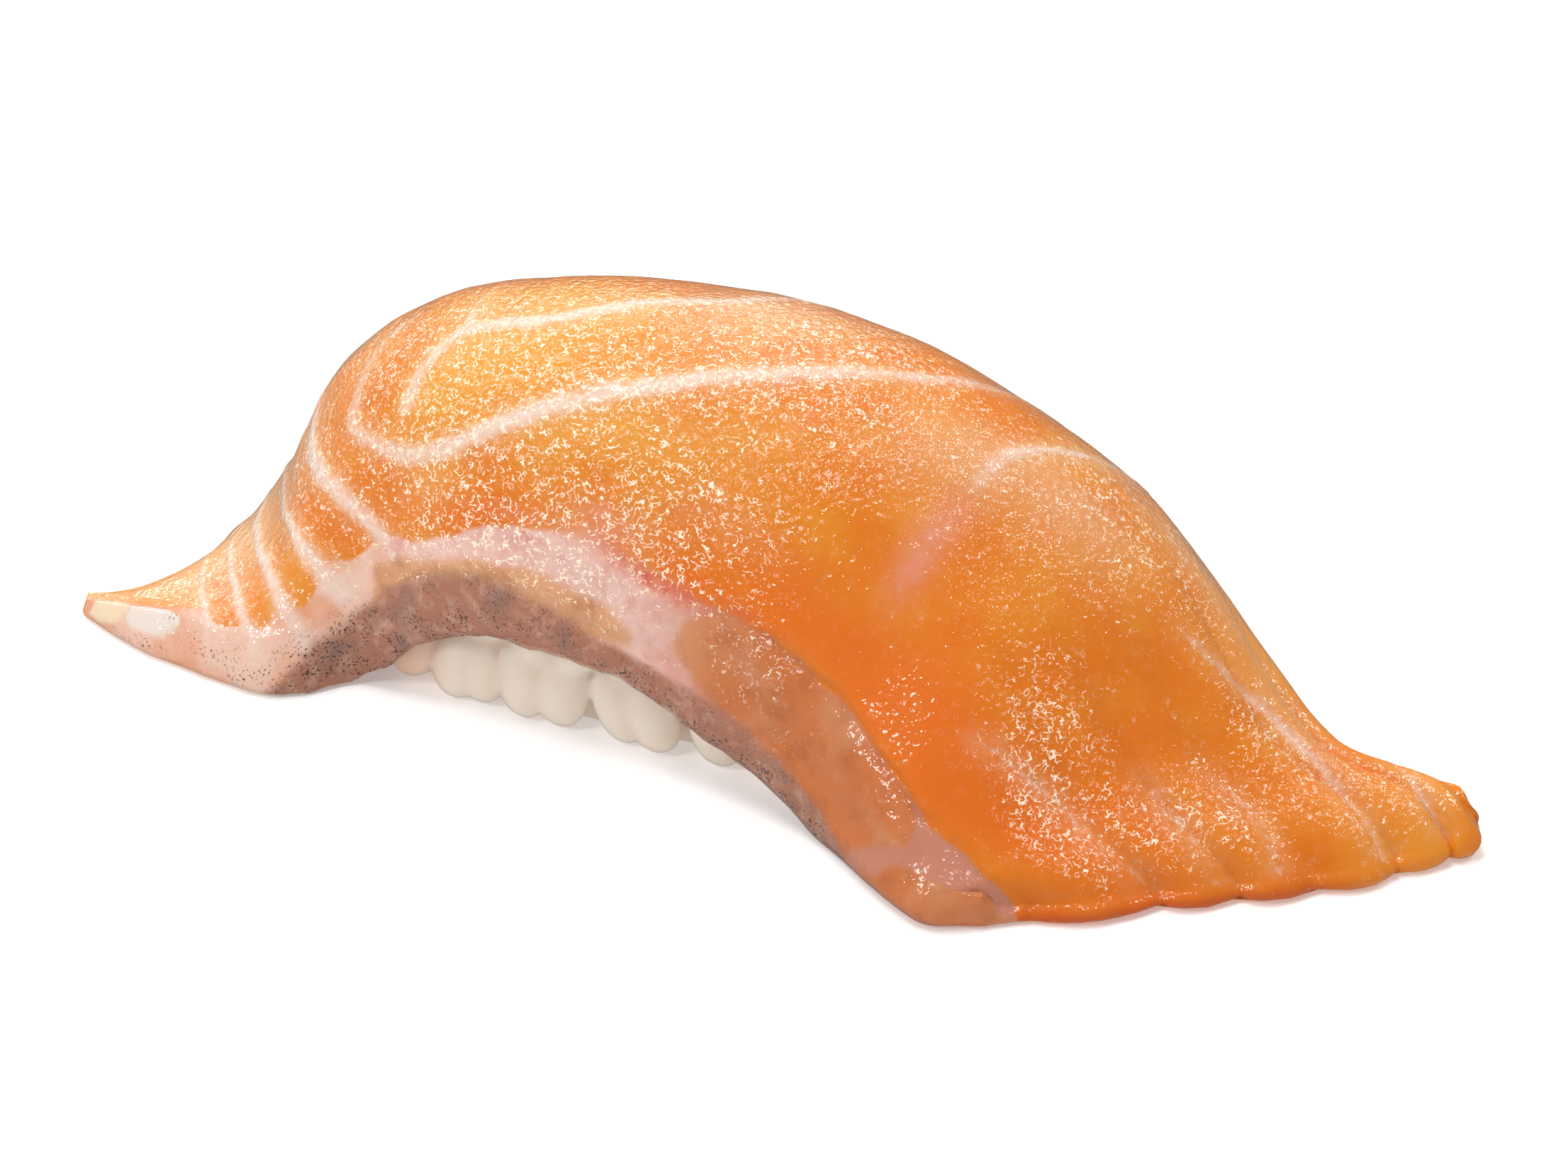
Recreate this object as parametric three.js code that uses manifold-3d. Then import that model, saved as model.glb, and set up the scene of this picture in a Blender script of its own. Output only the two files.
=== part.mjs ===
// Salmon nigiri: a pressed block of sushi rice with one long slice of salmon laid over it.
// Millimetres, +Z up. The object rests on z = 0, with the middle of its box over the origin.
// The slice runs along X. Its near edge is towards -Y, its pointed tail towards -X.
import * as THREE from 'three';
import { mergeVertices } from 'three/addons/utils/BufferGeometryUtils.js';
import Module from 'manifold-3d';

const wasm = await Module();
wasm.setup();

// ---- Slice: driving dimensions --------------------------------------------------------------
// Three guide curves carry the slice's upper face. A row is [station, x, y, z]; stations run from
// 0 at the pointed tail to 10 at the cut end, and a section joins the three curves at each station.
const STATIONS = 10;
const NEAR_EDGE = [
  [0, -52.1, -12.2, 1.6], [0.6, -48.3, -13.2, 2.8], [1.3, -43.9, -13.9, 3.5],
  [2, -40.3, -14.6, 3.9], [2.7, -36.9, -14.8, 4.3], [3.2, -34.4, -13.4, 5.2],
  [3.6, -32.2, -11.7, 7.0], [4, -29.4, -11.7, 9.2], [4.5, -26.5, -12.2, 10.9],
  [5.2, -21.9, -12.8, 12.4], [5.8, -16.8, -13.2, 11.7], [6.5, -11.1, -13.4, 10.1],
  [7.2, -5.0, -14.2, 8.6], [7.8, 0.0, -15.2, 6.7], [8.3, 4.0, -16.8, 4.8],
  [8.9, 8.4, -19.6, 3.4], [9.5, 11.8, -21.5, 3.0], [9.8, 13.5, -21.8, 2.8],
  [10, 16.2, -20.6, 2.8],
];
const CREST = [
  [0, -52.3, -11.5, 1.6], [0.6, -48.4, -11.9, 3.1], [1.3, -45.0, -9.9, 4.0],
  [2, -42.7, -6.7, 5.0], [2.7, -41.1, -2.9, 8.3], [3.2, -39.7, -0.9, 12.6],
  [3.6, -37.5, -0.1, 16.7], [4, -34.2, 0.0, 20.0], [4.5, -29.6, 0.2, 22.8],
  [5.2, -21.9, 0.8, 25.3], [5.8, -15.0, 1.3, 26.3], [6.5, -7.6, 1.3, 26.8],
  [7.2, 0.2, 0.9, 26.2], [7.8, 7.3, 0.1, 24.0], [8.3, 13.4, -0.4, 21.1], [8.9, 20.8, -2.1, 16.0],
  [9.5, 28.7, -5.6, 6.7], [10, 37.2, -8.2, 2.6],
];
const FAR_EDGE = [
  [0, -51.6, -11.4, 1.6], [0.6, -48.2, -10.4, 2.7], [1.3, -45.4, -6.5, 3.3],
  [2, -44.3, -1.8, 3.6], [2.7, -42.5, 3.7, 3.9], [3.6, -38.2, 10.1, 5.9],
  [4.5, -29.7, 13.5, 10.1], [5.8, -14.1, 15.0, 12.0], [7.2, 3.6, 14.1, 10.4],
  [8.3, 17.9, 11.0, 7.1], [8.9, 25.2, 6.6, 5.2], [9.5, 34.6, 0.6, 3.4], [9.8, 41.7, 0.3, 3.6],
  [10, 44.9, -0.9, 4.3],
];
// The section arches over the crest as part of a superellipse.
const ARCH_ANGLE = THREE.MathUtils.degToRad(72);
const ARCH_POWER = 2.3;

const SLICE_THICKNESS = 4.0;
// The cut edge of the slice: how far it drops below the guide curves, and how far it flares out
// on the way down, each as [x, millimetres].
const EDGE_DROP = [
  [-60, 3.0], [-40, 4.0], [-36, 5.0], [-32, 6.6], [-29, 7.0], [-26.5, 5.4], [-22, 4.7],
  [-16, 3.6], [-11.3, 2.9], [-5, 4.3], [5, 4.7], [60, 5.0],
];
const EDGE_FLARE = [[-52, 0.3], [-46, 1.3], [-36, 1.0], [-30, 0.8], [-2, 0.3], [6, 0.3], [20, 0.5]];
const EDGE_BULGE = 0.5;
const EDGE_ROWS = 3;
const EDGE_LOWEST = 0.3;
// Share of the width over which the underside runs out to the foot of the cut edge.
const EDGE_WEDGE = 1 / 13;

// Flutes between the sheets of connective tissue, which open towards the cut end.
const FLUTE_LINES = [0.12, 0.30, 0.385, 0.465, 0.63, 0.79, 0.93];
const FLUTE_START = 8.6;
const FLUTE_DEPTH = 0.5;
const FLUTE_FULLNESS = 0.7;
const END_SCALLOP = 0.4;

// Least upward share of a normal that the underside is carried along.
const STEEPEST = 0.2;
const NORMAL_STEP = 0.01;
const SLICE_ALONG = 64;
const SLICE_ACROSS = 26;

// ---- Rice: driving dimensions ---------------------------------------------------------------
const BLOCK_MIDDLE = [-4.8, -0.4];
const BLOCK_HALF = [24.8, 11.2, 25.0];
const BLOCK_SQUARENESS = 4.0;
const BLOCK_DRAW_IN = 2.8;
const BLOCK_ALONG = 32;
const BLOCK_UP = 9;
const OUTLINE_STEPS = 360;
// The slice is given this much room on every side, and a grain may lie this far (in cubic
// millimetres) inside that room before it is left out.
const FIT_GAP = 0.6;
const CROSSING_ALLOWED = 0.01;

const GRAIN = { length: 6.6, width: 3.3, thickness: 2.9, sides: 7, rings: 4 };
const GRAIN_SINK = 0.1;
const GRAIN_ROWS = [
  { height: 3.0, spacing: 3.7, lean: 16 },
  { height: 7.6, spacing: 4.6, lean: 34 },
  { height: 11.0, spacing: 5.4, lean: 55 },
];
// How much the grains differ: spacing as a share, lean in degrees, height, size as a share.
const GRAIN_UNEVEN = { spacing: 0.3, lean: 24, height: 0.9, size: 0.16 };
const GRAIN_SEED = 23;

// Puts the middle of the box over the origin.
const PLAN_MIDDLE = [-3.8, -3.4];

const SALMON = { color: 0xee8a3c, roughness: 0.35, metalness: 0.0 };
const RICE = { color: 0xf1efe6, roughness: 0.45, metalness: 0.0 };

// ---- Small helpers --------------------------------------------------------------------------
// A smooth curve through rows of [key, ...values]: cubic pieces whose slope at a row is the slope
// between its two neighbours.
function curveThrough(rows) {
  const last = rows.length - 1;
  const slope = rows.map((row, i) => {
    const before = rows[Math.max(i - 1, 0)];
    const after = rows[Math.min(i + 1, last)];
    return row.map((_, k) => (after[k] - before[k]) / (after[0] - before[0]));
  });
  return (key) => {
    let i = 0;
    while (i < last - 1 && key >= rows[i + 1][0]) i += 1;
    const span = rows[i + 1][0] - rows[i][0];
    const t = (key - rows[i][0]) / span;
    const keep = (1 + 2 * t) * (1 - t) ** 2;
    const leave = t * (1 - t) ** 2 * span;
    const arrive = t * t * (t - 1) * span;
    return rows[i].slice(1).map((value, k) => keep * value + (1 - keep) * rows[i + 1][k + 1]
      + leave * slope[i][k + 1] + arrive * slope[i + 1][k + 1]);
  };
}

// Straight pieces through [key, value] pairs, level beyond the ends.
function levelBetween(pairs, key) {
  if (key <= pairs[0][0]) return pairs[0][1];
  const i = pairs.findIndex((pair) => pair[0] > key);
  if (i < 0) return pairs[pairs.length - 1][1];
  const t = (key - pairs[i - 1][0]) / (pairs[i][0] - pairs[i - 1][0]);
  return pairs[i - 1][1] + t * (pairs[i][1] - pairs[i - 1][1]);
}

// Draws between 0 and 1 from a seed, the same on every run.
function drawsFrom(seed) {
  let state = seed;
  return () => {
    state = (state * 16807) % 2147483647;
    return state / 2147483647;
  };
}

function meshFrom(points, triangles) {
  const geometry = new THREE.BufferGeometry();
  geometry.setAttribute('position', new THREE.Float32BufferAttribute(points.flat(), 3));
  geometry.setIndex(triangles.flat());
  return geometry;
}

function solidFrom(geometry) {
  const bare = geometry.clone();
  bare.deleteAttribute('normal');
  bare.deleteAttribute('uv');
  const merged = mergeVertices(bare, 1e-4);
  return new wasm.Manifold(new wasm.Mesh({
    numProp: 3,
    vertProperties: Float32Array.from(merged.attributes.position.array),
    triVerts: Uint32Array.from(merged.index.array),
  }));
}

function geometryFrom(solid) {
  const mesh = solid.getMesh();
  const geometry = new THREE.BufferGeometry();
  geometry.setAttribute('position', new THREE.Float32BufferAttribute(mesh.vertProperties, 3));
  geometry.setIndex(Array.from(mesh.triVerts));
  return geometry;
}

// ---- Slice of salmon ------------------------------------------------------------------------
const nearEdge = curveThrough(NEAR_EDGE);
const crest = curveThrough(CREST);
const farEdge = curveThrough(FAR_EDGE);

// A point of the smooth upper face; across runs from 0 at the near edge to 1 at the far edge.
function archPoint(station, across) {
  const top = crest(station);
  const edge = across < 0.5 ? nearEdge(station) : farEdge(station);
  const out = Math.sin(Math.abs(2 * across - 1) * ARCH_ANGLE);
  const outMost = Math.sin(ARCH_ANGLE);
  const height = (1 - out ** ARCH_POWER) ** (1 / ARCH_POWER);
  const lowest = (1 - outMost ** ARCH_POWER) ** (1 / ARCH_POWER);
  const rise = (height - lowest) / (1 - lowest);
  return new THREE.Vector3(
    top[0] + (edge[0] - top[0]) * (out / outMost),
    top[1] + (edge[1] - top[1]) * (out / outMost),
    edge[2] + (top[2] - edge[2]) * rise,
  );
}

function archNormal(station, across) {
  const step = NORMAL_STEP;
  const s0 = Math.max(station - step, 0);
  const s1 = Math.min(station + step, STATIONS);
  const a0 = Math.max(across - step, 0);
  const a1 = Math.min(across + step, 1);
  const along = archPoint(s1, across).sub(archPoint(s0, across));
  const over = archPoint(station, a1).sub(archPoint(station, a0));
  return along.cross(over).normalize();
}

// How far through its flute a place lies: 0 on each line of tissue and 1 half way between two.
function fluteCrown(across) {
  const i = FLUTE_LINES.findIndex((line) => line > across);
  if (i <= 0) return 0;
  const t = (across - FLUTE_LINES[i - 1]) / (FLUTE_LINES[i] - FLUTE_LINES[i - 1]);
  return Math.sin(Math.PI * t) ** FLUTE_FULLNESS;
}

// Level and square to the line from corner to corner of the cut end.
const endNear = nearEdge(STATIONS);
const endFar = farEdge(STATIONS);
const endOutward = new THREE.Vector3(endFar[1] - endNear[1], endNear[0] - endFar[0], 0).normalize();

// A point of the finished upper face, with its flutes and the scallops they end in.
function upperPoint(station, across) {
  const fade = THREE.MathUtils.smoothstep(station, FLUTE_START, STATIONS);
  const crown = FLUTE_DEPTH * fade * fluteCrown(across);
  const point = archPoint(station, across).addScaledVector(archNormal(station, across), crown);
  if (station === STATIONS) point.addScaledVector(endOutward, END_SCALLOP * fluteCrown(across));
  return point;
}

// The closed body of the slice: upper face, rounded cut edge and underside, which lies no lower
// than the plate. It swells by grow on every side, to give the room that the slice needs.
function sliceBody(along, across, grow) {
  const points = [];
  const triangles = [];
  const add = (point) => points.push([point.x, point.y, point.z]) - 1;
  const quad = (a, b, c, d) => triangles.push([a, b, c], [a, c, d]);
  const upper = [];
  for (let i = 0; i <= along; i += 1) {
    upper.push([]);
    for (let j = 0; j <= across; j += 1) {
      const station = STATIONS * i / along;
      upper[i].push(upperPoint(station, j / across)
        .addScaledVector(archNormal(station, j / across), grow));
    }
  }
  const top = upper.map((row) => row.map(add));

  // The ring of border places, anticlockwise from above.
  const ring = [];
  for (let i = 0; i < along; i += 1) ring.push([i, 0]);
  for (let j = 0; j < across; j += 1) ring.push([along, j]);
  for (let i = along; i > 0; i -= 1) ring.push([i, across]);
  for (let j = across; j > 0; j -= 1) ring.push([0, j]);

  const under = (i, share) => {
    const station = (STATIONS * i) / along;
    const normal = archNormal(station, share);
    const point = upperPoint(station, share).addScaledVector(normal, grow);
    const toPlate = (point.z + grow) / Math.max(normal.z, STEEPEST);
    return point.addScaledVector(normal, -Math.min(SLICE_THICKNESS + 2 * grow, toPlate));
  };
  const lower = upper.map((row, i) => row.map((_, j) => under(i, j / across)));
  const edgeRows = ring.map(([i, j], k) => {
    const [iBefore, jBefore] = ring[(k + ring.length - 1) % ring.length];
    const [iAfter, jAfter] = ring[(k + 1) % ring.length];
    const run = upper[iAfter][jAfter].clone().sub(upper[iBefore][jBefore]);
    const outward = new THREE.Vector3(run.y, -run.x, 0).normalize();
    const from = upper[i][j];
    const low = from.clone().addScaledVector(outward, levelBetween(EDGE_FLARE, from.x) + grow);
    low.z = Math.max(EDGE_LOWEST, from.z - levelBetween(EDGE_DROP, from.x)) - grow;
    lower[i][j] = low;
    const rows = [top[i][j]];
    for (let r = 1; r <= EDGE_ROWS; r += 1) {
      const t = r / (EDGE_ROWS + 1);
      rows.push(add(from.clone().lerp(low, t)
        .addScaledVector(outward, EDGE_BULGE * Math.sin(Math.PI * t))));
    }
    return rows;
  });
  // Along both long edges the underside runs straight out to the foot of the cut edge.
  for (let i = 1; i < along; i += 1) {
    for (let j = 1; j < EDGE_WEDGE * across; j += 1) {
      const t = j / across / EDGE_WEDGE;
      lower[i][j].copy(lower[i][0]).lerp(under(i, EDGE_WEDGE), t);
      lower[i][across - j].copy(lower[i][across]).lerp(under(i, 1 - EDGE_WEDGE), t);
    }
  }
  const bottom = lower.map((row) => row.map(add));

  for (let i = 0; i < along; i += 1) {
    for (let j = 0; j < across; j += 1) {
      quad(top[i][j], top[i + 1][j], top[i + 1][j + 1], top[i][j + 1]);
      quad(bottom[i][j], bottom[i][j + 1], bottom[i + 1][j + 1], bottom[i + 1][j]);
    }
  }
  ring.forEach(([i, j], k) => {
    const next = (k + 1) % ring.length;
    const here = [...edgeRows[k], bottom[i][j]];
    const there = [...edgeRows[next], bottom[ring[next][0]][ring[next][1]]];
    for (let r = 0; r < here.length - 1; r += 1) quad(here[r], here[r + 1], there[r + 1], there[r]);
  });
  return meshFrom(points, triangles);
}

// ---- Rice -----------------------------------------------------------------------------------
// Outline of the block at a height: a squarish oval that draws in towards the top.
function blockPoint(turn, height) {
  const power = 2 / BLOCK_SQUARENESS;
  const spread = (1 - (height / BLOCK_HALF[2]) ** BLOCK_DRAW_IN) ** (1 / BLOCK_DRAW_IN);
  const c = Math.cos(turn);
  const s = Math.sin(turn);
  return new THREE.Vector3(
    BLOCK_MIDDLE[0] + BLOCK_HALF[0] * spread * Math.sign(c) * Math.abs(c) ** power,
    BLOCK_MIDDLE[1] + BLOCK_HALF[1] * spread * Math.sign(s) * Math.abs(s) ** power,
    height,
  );
}

// Length of the block's outline up to each of its steps round.
function outlineLengths(height) {
  const lengths = [0];
  for (let i = 0; i < OUTLINE_STEPS; i += 1) {
    const from = blockPoint((2 * Math.PI * i) / OUTLINE_STEPS, height);
    const to = blockPoint((2 * Math.PI * (i + 1)) / OUTLINE_STEPS, height);
    lengths.push(lengths[i] + from.distanceTo(to));
  }
  return lengths;
}

// The turn that lies a share of the way round the block's outline, by length.
function turnAt(share, height) {
  const lengths = outlineLengths(height);
  const goal = (share % 1) * lengths[OUTLINE_STEPS];
  return (2 * Math.PI * lengths.findIndex((length) => length >= goal)) / OUTLINE_STEPS;
}

function blockNormal(turn, height) {
  const step = 0.02;
  const around = blockPoint(turn + step, height).sub(blockPoint(turn - step, height));
  const up = blockPoint(turn, height + step).sub(blockPoint(turn, height - step));
  return around.cross(up).normalize();
}

function riceBlock() {
  const points = [[BLOCK_MIDDLE[0], BLOCK_MIDDLE[1], 0]];
  const triangles = [];
  for (let k = 0; k < BLOCK_UP; k += 1) {
    const height = BLOCK_HALF[2] * Math.sin((Math.PI / 2) * (k / BLOCK_UP));
    for (let i = 0; i < BLOCK_ALONG; i += 1) {
      const point = blockPoint((2 * Math.PI * i) / BLOCK_ALONG, height);
      points.push([point.x, point.y, point.z]);
    }
  }
  const peak = points.push([BLOCK_MIDDLE[0], BLOCK_MIDDLE[1], BLOCK_HALF[2]]) - 1;
  const at = (k, i) => 1 + k * BLOCK_ALONG + (i % BLOCK_ALONG);
  for (let i = 0; i < BLOCK_ALONG; i += 1) {
    triangles.push([0, at(0, i + 1), at(0, i)]);
    for (let k = 0; k < BLOCK_UP - 1; k += 1) {
      triangles.push([at(k, i), at(k, i + 1), at(k + 1, i + 1)], [at(k, i), at(k + 1, i + 1), at(k + 1, i)]);
    }
    triangles.push([at(BLOCK_UP - 1, i), at(BLOCK_UP - 1, i + 1), peak]);
  }
  return meshFrom(points, triangles);
}

// One grain lying against the block, its length leaning away from upright.
function grainAt(turn, height, lean, size) {
  const grain = new THREE.SphereGeometry(0.5, GRAIN.sides, GRAIN.rings);
  grain.scale(GRAIN.width * size, GRAIN.length * size, GRAIN.thickness);
  grain.rotateZ(THREE.MathUtils.degToRad(lean));
  const normal = blockNormal(turn, height);
  const sideways = new THREE.Vector3(-normal.y, normal.x, 0).normalize();
  const upward = normal.clone().cross(sideways);
  const place = blockPoint(turn, height).addScaledVector(normal, -GRAIN_SINK);
  grain.applyMatrix4(new THREE.Matrix4().makeBasis(sideways, upward, normal).setPosition(place));
  grain.computeBoundingBox();
  grain.translate(0, 0, Math.max(0, -grain.boundingBox.min.z));
  return solidFrom(grain);
}

// The block with its grains fused on, cut to the room that the slice needs.
function riceBody() {
  const room = solidFrom(sliceBody(SLICE_ALONG / 2, SLICE_ACROSS, FIT_GAP));
  const draw = drawsFrom(GRAIN_SEED);
  let rice = solidFrom(riceBlock());
  for (const row of GRAIN_ROWS) {
    const count = Math.round(outlineLengths(row.height)[OUTLINE_STEPS] / row.spacing);
    for (let i = 0; i < count; i += 1) {
      const turn = turnAt((i + GRAIN_UNEVEN.spacing * draw()) / count, row.height);
      const lean = row.lean * (draw() < 0.5 ? -1 : 1) + GRAIN_UNEVEN.lean * (draw() - 0.5);
      const height = row.height + GRAIN_UNEVEN.height * (draw() - 0.5);
      const grain = grainAt(turn, height, lean, 1 + GRAIN_UNEVEN.size * (draw() - 0.5));
      const crossing = grain.intersect(room).volume();
      if (crossing < CROSSING_ALLOWED) rice = rice.add(grain);
    }
  }
  const pieces = rice.subtract(room).decompose();
  return pieces.reduce((largest, piece) => (piece.volume() > largest.volume() ? piece : largest));
}

// ---- Assembly -------------------------------------------------------------------------------
function piece(name, geometry, look) {
  const mesh = new THREE.Mesh(geometry, new THREE.MeshStandardMaterial(look));
  mesh.name = name;
  mesh.position.set(-PLAN_MIDDLE[0], -PLAN_MIDDLE[1], 0);
  return mesh;
}

const nigiri = new THREE.Group();
nigiri.add(
  piece('rice', geometryFrom(riceBody()), RICE),
  piece('salmon_slice', sliceBody(SLICE_ALONG, SLICE_ACROSS, 0), SALMON),
);

export default nigiri;
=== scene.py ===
"""Salmon nigiri: a pressed block of sushi rice under one long slice of raw salmon."""

import math

import bpy
import numpy as np
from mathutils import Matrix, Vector
from mathutils.bvhtree import BVHTree


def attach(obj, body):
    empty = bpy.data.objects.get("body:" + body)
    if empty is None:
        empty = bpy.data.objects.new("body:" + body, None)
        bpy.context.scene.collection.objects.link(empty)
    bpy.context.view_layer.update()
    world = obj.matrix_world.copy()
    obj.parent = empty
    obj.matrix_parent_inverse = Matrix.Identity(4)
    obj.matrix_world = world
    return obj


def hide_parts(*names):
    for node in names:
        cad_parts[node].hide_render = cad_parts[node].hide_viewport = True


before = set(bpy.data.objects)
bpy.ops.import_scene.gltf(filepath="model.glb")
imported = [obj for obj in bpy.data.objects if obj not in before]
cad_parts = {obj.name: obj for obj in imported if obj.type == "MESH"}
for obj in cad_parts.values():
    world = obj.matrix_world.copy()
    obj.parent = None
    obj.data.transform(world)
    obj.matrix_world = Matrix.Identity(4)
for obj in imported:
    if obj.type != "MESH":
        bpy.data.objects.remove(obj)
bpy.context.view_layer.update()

MM = 0.001

# ---- Slice: driving dimensions, the same as the solid's, in millimetres ----------------------
# A guide curve's row is (station, x, y, z). Stations run from 0 at the pointed tail to 10 at the
# cut end; "across" runs from 0 at the near edge to 1 at the far edge.
STATIONS = 10.0
NEAR_EDGE = [
    (0, -52.1, -12.2, 1.6), (0.6, -48.3, -13.2, 2.8), (1.3, -43.9, -13.9, 3.5),
    (2, -40.3, -14.6, 3.9), (2.7, -36.9, -14.8, 4.3), (3.2, -34.4, -13.4, 5.2),
    (3.6, -32.2, -11.7, 7.0), (4, -29.4, -11.7, 9.2), (4.5, -26.5, -12.2, 10.9),
    (5.2, -21.9, -12.8, 12.4), (5.8, -16.8, -13.2, 11.7), (6.5, -11.1, -13.4, 10.1),
    (7.2, -5.0, -14.2, 8.6), (7.8, 0.0, -15.2, 6.7), (8.3, 4.0, -16.8, 4.8),
    (8.9, 8.4, -19.6, 3.4), (9.5, 11.8, -21.5, 3.0), (9.8, 13.5, -21.8, 2.8),
    (10, 16.2, -20.6, 2.8),
]
CREST = [
    (0, -52.3, -11.5, 1.6), (0.6, -48.4, -11.9, 3.1), (1.3, -45.0, -9.9, 4.0),
    (2, -42.7, -6.7, 5.0), (2.7, -41.1, -2.9, 8.3), (3.2, -39.7, -0.9, 12.6),
    (3.6, -37.5, -0.1, 16.7), (4, -34.2, 0.0, 20.0), (4.5, -29.6, 0.2, 22.8),
    (5.2, -21.9, 0.8, 25.3), (5.8, -15.0, 1.3, 26.3), (6.5, -7.6, 1.3, 26.8),
    (7.2, 0.2, 0.9, 26.2), (7.8, 7.3, 0.1, 24.0), (8.3, 13.4, -0.4, 21.1), (8.9, 20.8, -2.1, 16.0),
    (9.5, 28.7, -5.6, 6.7), (10, 37.2, -8.2, 2.6),
]
FAR_EDGE = [
    (0, -51.6, -11.4, 1.6), (0.6, -48.2, -10.4, 2.7), (1.3, -45.4, -6.5, 3.3),
    (2, -44.3, -1.8, 3.6), (2.7, -42.5, 3.7, 3.9), (3.6, -38.2, 10.1, 5.9),
    (4.5, -29.7, 13.5, 10.1), (5.8, -14.1, 15.0, 12.0), (7.2, 3.6, 14.1, 10.4),
    (8.3, 17.9, 11.0, 7.1), (8.9, 25.2, 6.6, 5.2), (9.5, 34.6, 0.6, 3.4), (9.8, 41.7, 0.3, 3.6),
    (10, 44.9, -0.9, 4.3),
]
ARCH_ANGLE = math.radians(72)
ARCH_POWER = 2.3
SLICE_THICKNESS = 4.0
EDGE_DROP = [
    (-60, 3.0), (-40, 4.0), (-36, 5.0), (-32, 6.6), (-29, 7.0), (-26.5, 5.4), (-22, 4.7),
    (-16, 3.6), (-11.3, 2.9), (-5, 4.3), (5, 4.7), (60, 5.0),
]
EDGE_FLARE = [(-52, 0.3), (-46, 1.3), (-36, 1.0), (-30, 0.8), (-2, 0.3), (6, 0.3), (20, 0.5)]
EDGE_BULGE = 0.5
EDGE_LOWEST = 0.3
EDGE_WEDGE = 1 / 13
FLUTE_LINES = [0.12, 0.30, 0.385, 0.465, 0.63, 0.79, 0.93]
FLUTE_START = 8.6
FLUTE_DEPTH = 0.5
FLUTE_FULLNESS = 0.7
END_SCALLOP = 0.4
STEEPEST = 0.2
PLAN_MIDDLE = np.array([-3.8, -3.4, 0.0])

# The mesh has about a quarter of a millimetre between rows on the upper face, which lie closer
# towards both long edges, and its underside has one row for every four above.
ALONG = 448
ACROSS = 168
CLOSER = 0.045
EDGE_ROWS = 7
COARSE = 4
# On the near cut edge, "across" runs on from 0 at its top to this at its foot.
EDGE_SHARE = -0.1
# On the end face, "station" runs on by this much from its top to its foot.
END_SHARE = 0.25
# Millimetres to a station and to the whole way across, for the width of soft borders.
STATION_MM = 10.0
ACROSS_MM = 45.0
# The cut end: its far corner is pulled in, its near corner's foot stands a little farther out,
# the way outward is taken over some steps of the border, and its top rolls down by END_ROLL over
# the last END_ROLL_WIDTH, where a station is END_STATION_MM long.
CORNER_PULL = 1.6
CORNER_FLARE = 0.15
CORNER_STEPS = 6
END_ROLL = 1.3
END_ROLL_WIDTH = 3.2
END_STATION_MM = 16.0

# ---- Rice: driving dimensions ----------------------------------------------------------------
BLOCK_MIDDLE = (-4.8, -0.4)
BLOCK_HALF = (24.8, 11.2, 25.0)
BLOCK_SQUARENESS = 4.0
BLOCK_DRAW_IN = 2.8
GRAIN_LENGTH = 6.6
GRAIN_WIDTH = 3.8
GRAIN_THICKNESS = 3.1
# The least gap between a grain and the slice.
GRAIN_CLEAR = 0.15
# Rows of grains round the block: height, spacing and the most that a grain leans, in degrees.
GRAIN_ROWS = [(3.0, 3.3, 14), (7.6, 3.5, 34), (11.4, 4.2, 55)]
GRAIN_SEED = 23
# How a grain strays: its turn round the block in radians, its height, its size as a share, and how
# far its middle lies outside the block's side.
GRAIN_TURN = 0.02
GRAIN_LEVEL = 0.5
GRAIN_SIZES = (0.86, 1.16)
GRAIN_OUT = (-0.45, 0.1)
GRAIN_LOWEST = 0.05
# A grain whose middle has less room than this under the slice is left out.
GRAIN_ROOM = 0.8
GRAIN_RINGS = 14
GRAIN_SIDES = 16
# Grains that fill the block's near left corner: x, y, z and lean in degrees.
CORNER_GRAINS = [(-27.6, -10.0, 3.2, 35), (-24.6, -10.9, 3.0, 12)]
# The core's gap below the slice, and how far it lies inside the block's outline.
CORE_CLEAR = 0.4
CORE_INSET = 1.4
CORE_RINGS = 40
CORE_SIDES = 120
FUSE_VOXEL = 0.3
FUSE_SMOOTHING = 3
# The rice turns peach from the first x to the second, in metres.
TINGE = (-0.0205, -0.0245)

# ---- Camera ----------------------------------------------------------------------------------
CAMERA_AZIMUTH = math.radians(21)
CAMERA_ELEVATION = math.radians(38)
CAMERA_DISTANCE = 450.0
VIEW_WIDTH = 105.07
SENSOR_WIDTH = 36.0
AIM_RIGHT = -4.99
AIM_UP = -2.97
AIM_FROM = (0.0, 0.0, 12.0)

# ---- Light -----------------------------------------------------------------------------------
# Soft boxes: azimuth and elevation in degrees, distance and size in metres, power in watts.
SOFT_BOXES = {
    "top": (-60, 80, 0.6, 0.24, 1.55),
    "front_left": (-38, 44, 0.6, 0.14, 0.90),
    "back_left": (-135, 28, 0.5, 0.14, 0.40),
    "left_fill": (-112, 16, 0.6, 0.24, 0.40),
    "back": (-158, 34, 0.5, 0.18, 0.75),
    "back_right": (132, 50, 0.5, 0.12, 0.50),
    "right": (60, 68, 0.6, 0.08, 0.20),
}
SKY_STRENGTH = 0.20
FLOOR_GLOW = 0.27
# Half the floor's side, in metres.
FLOOR_HALF = 2.0


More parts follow.
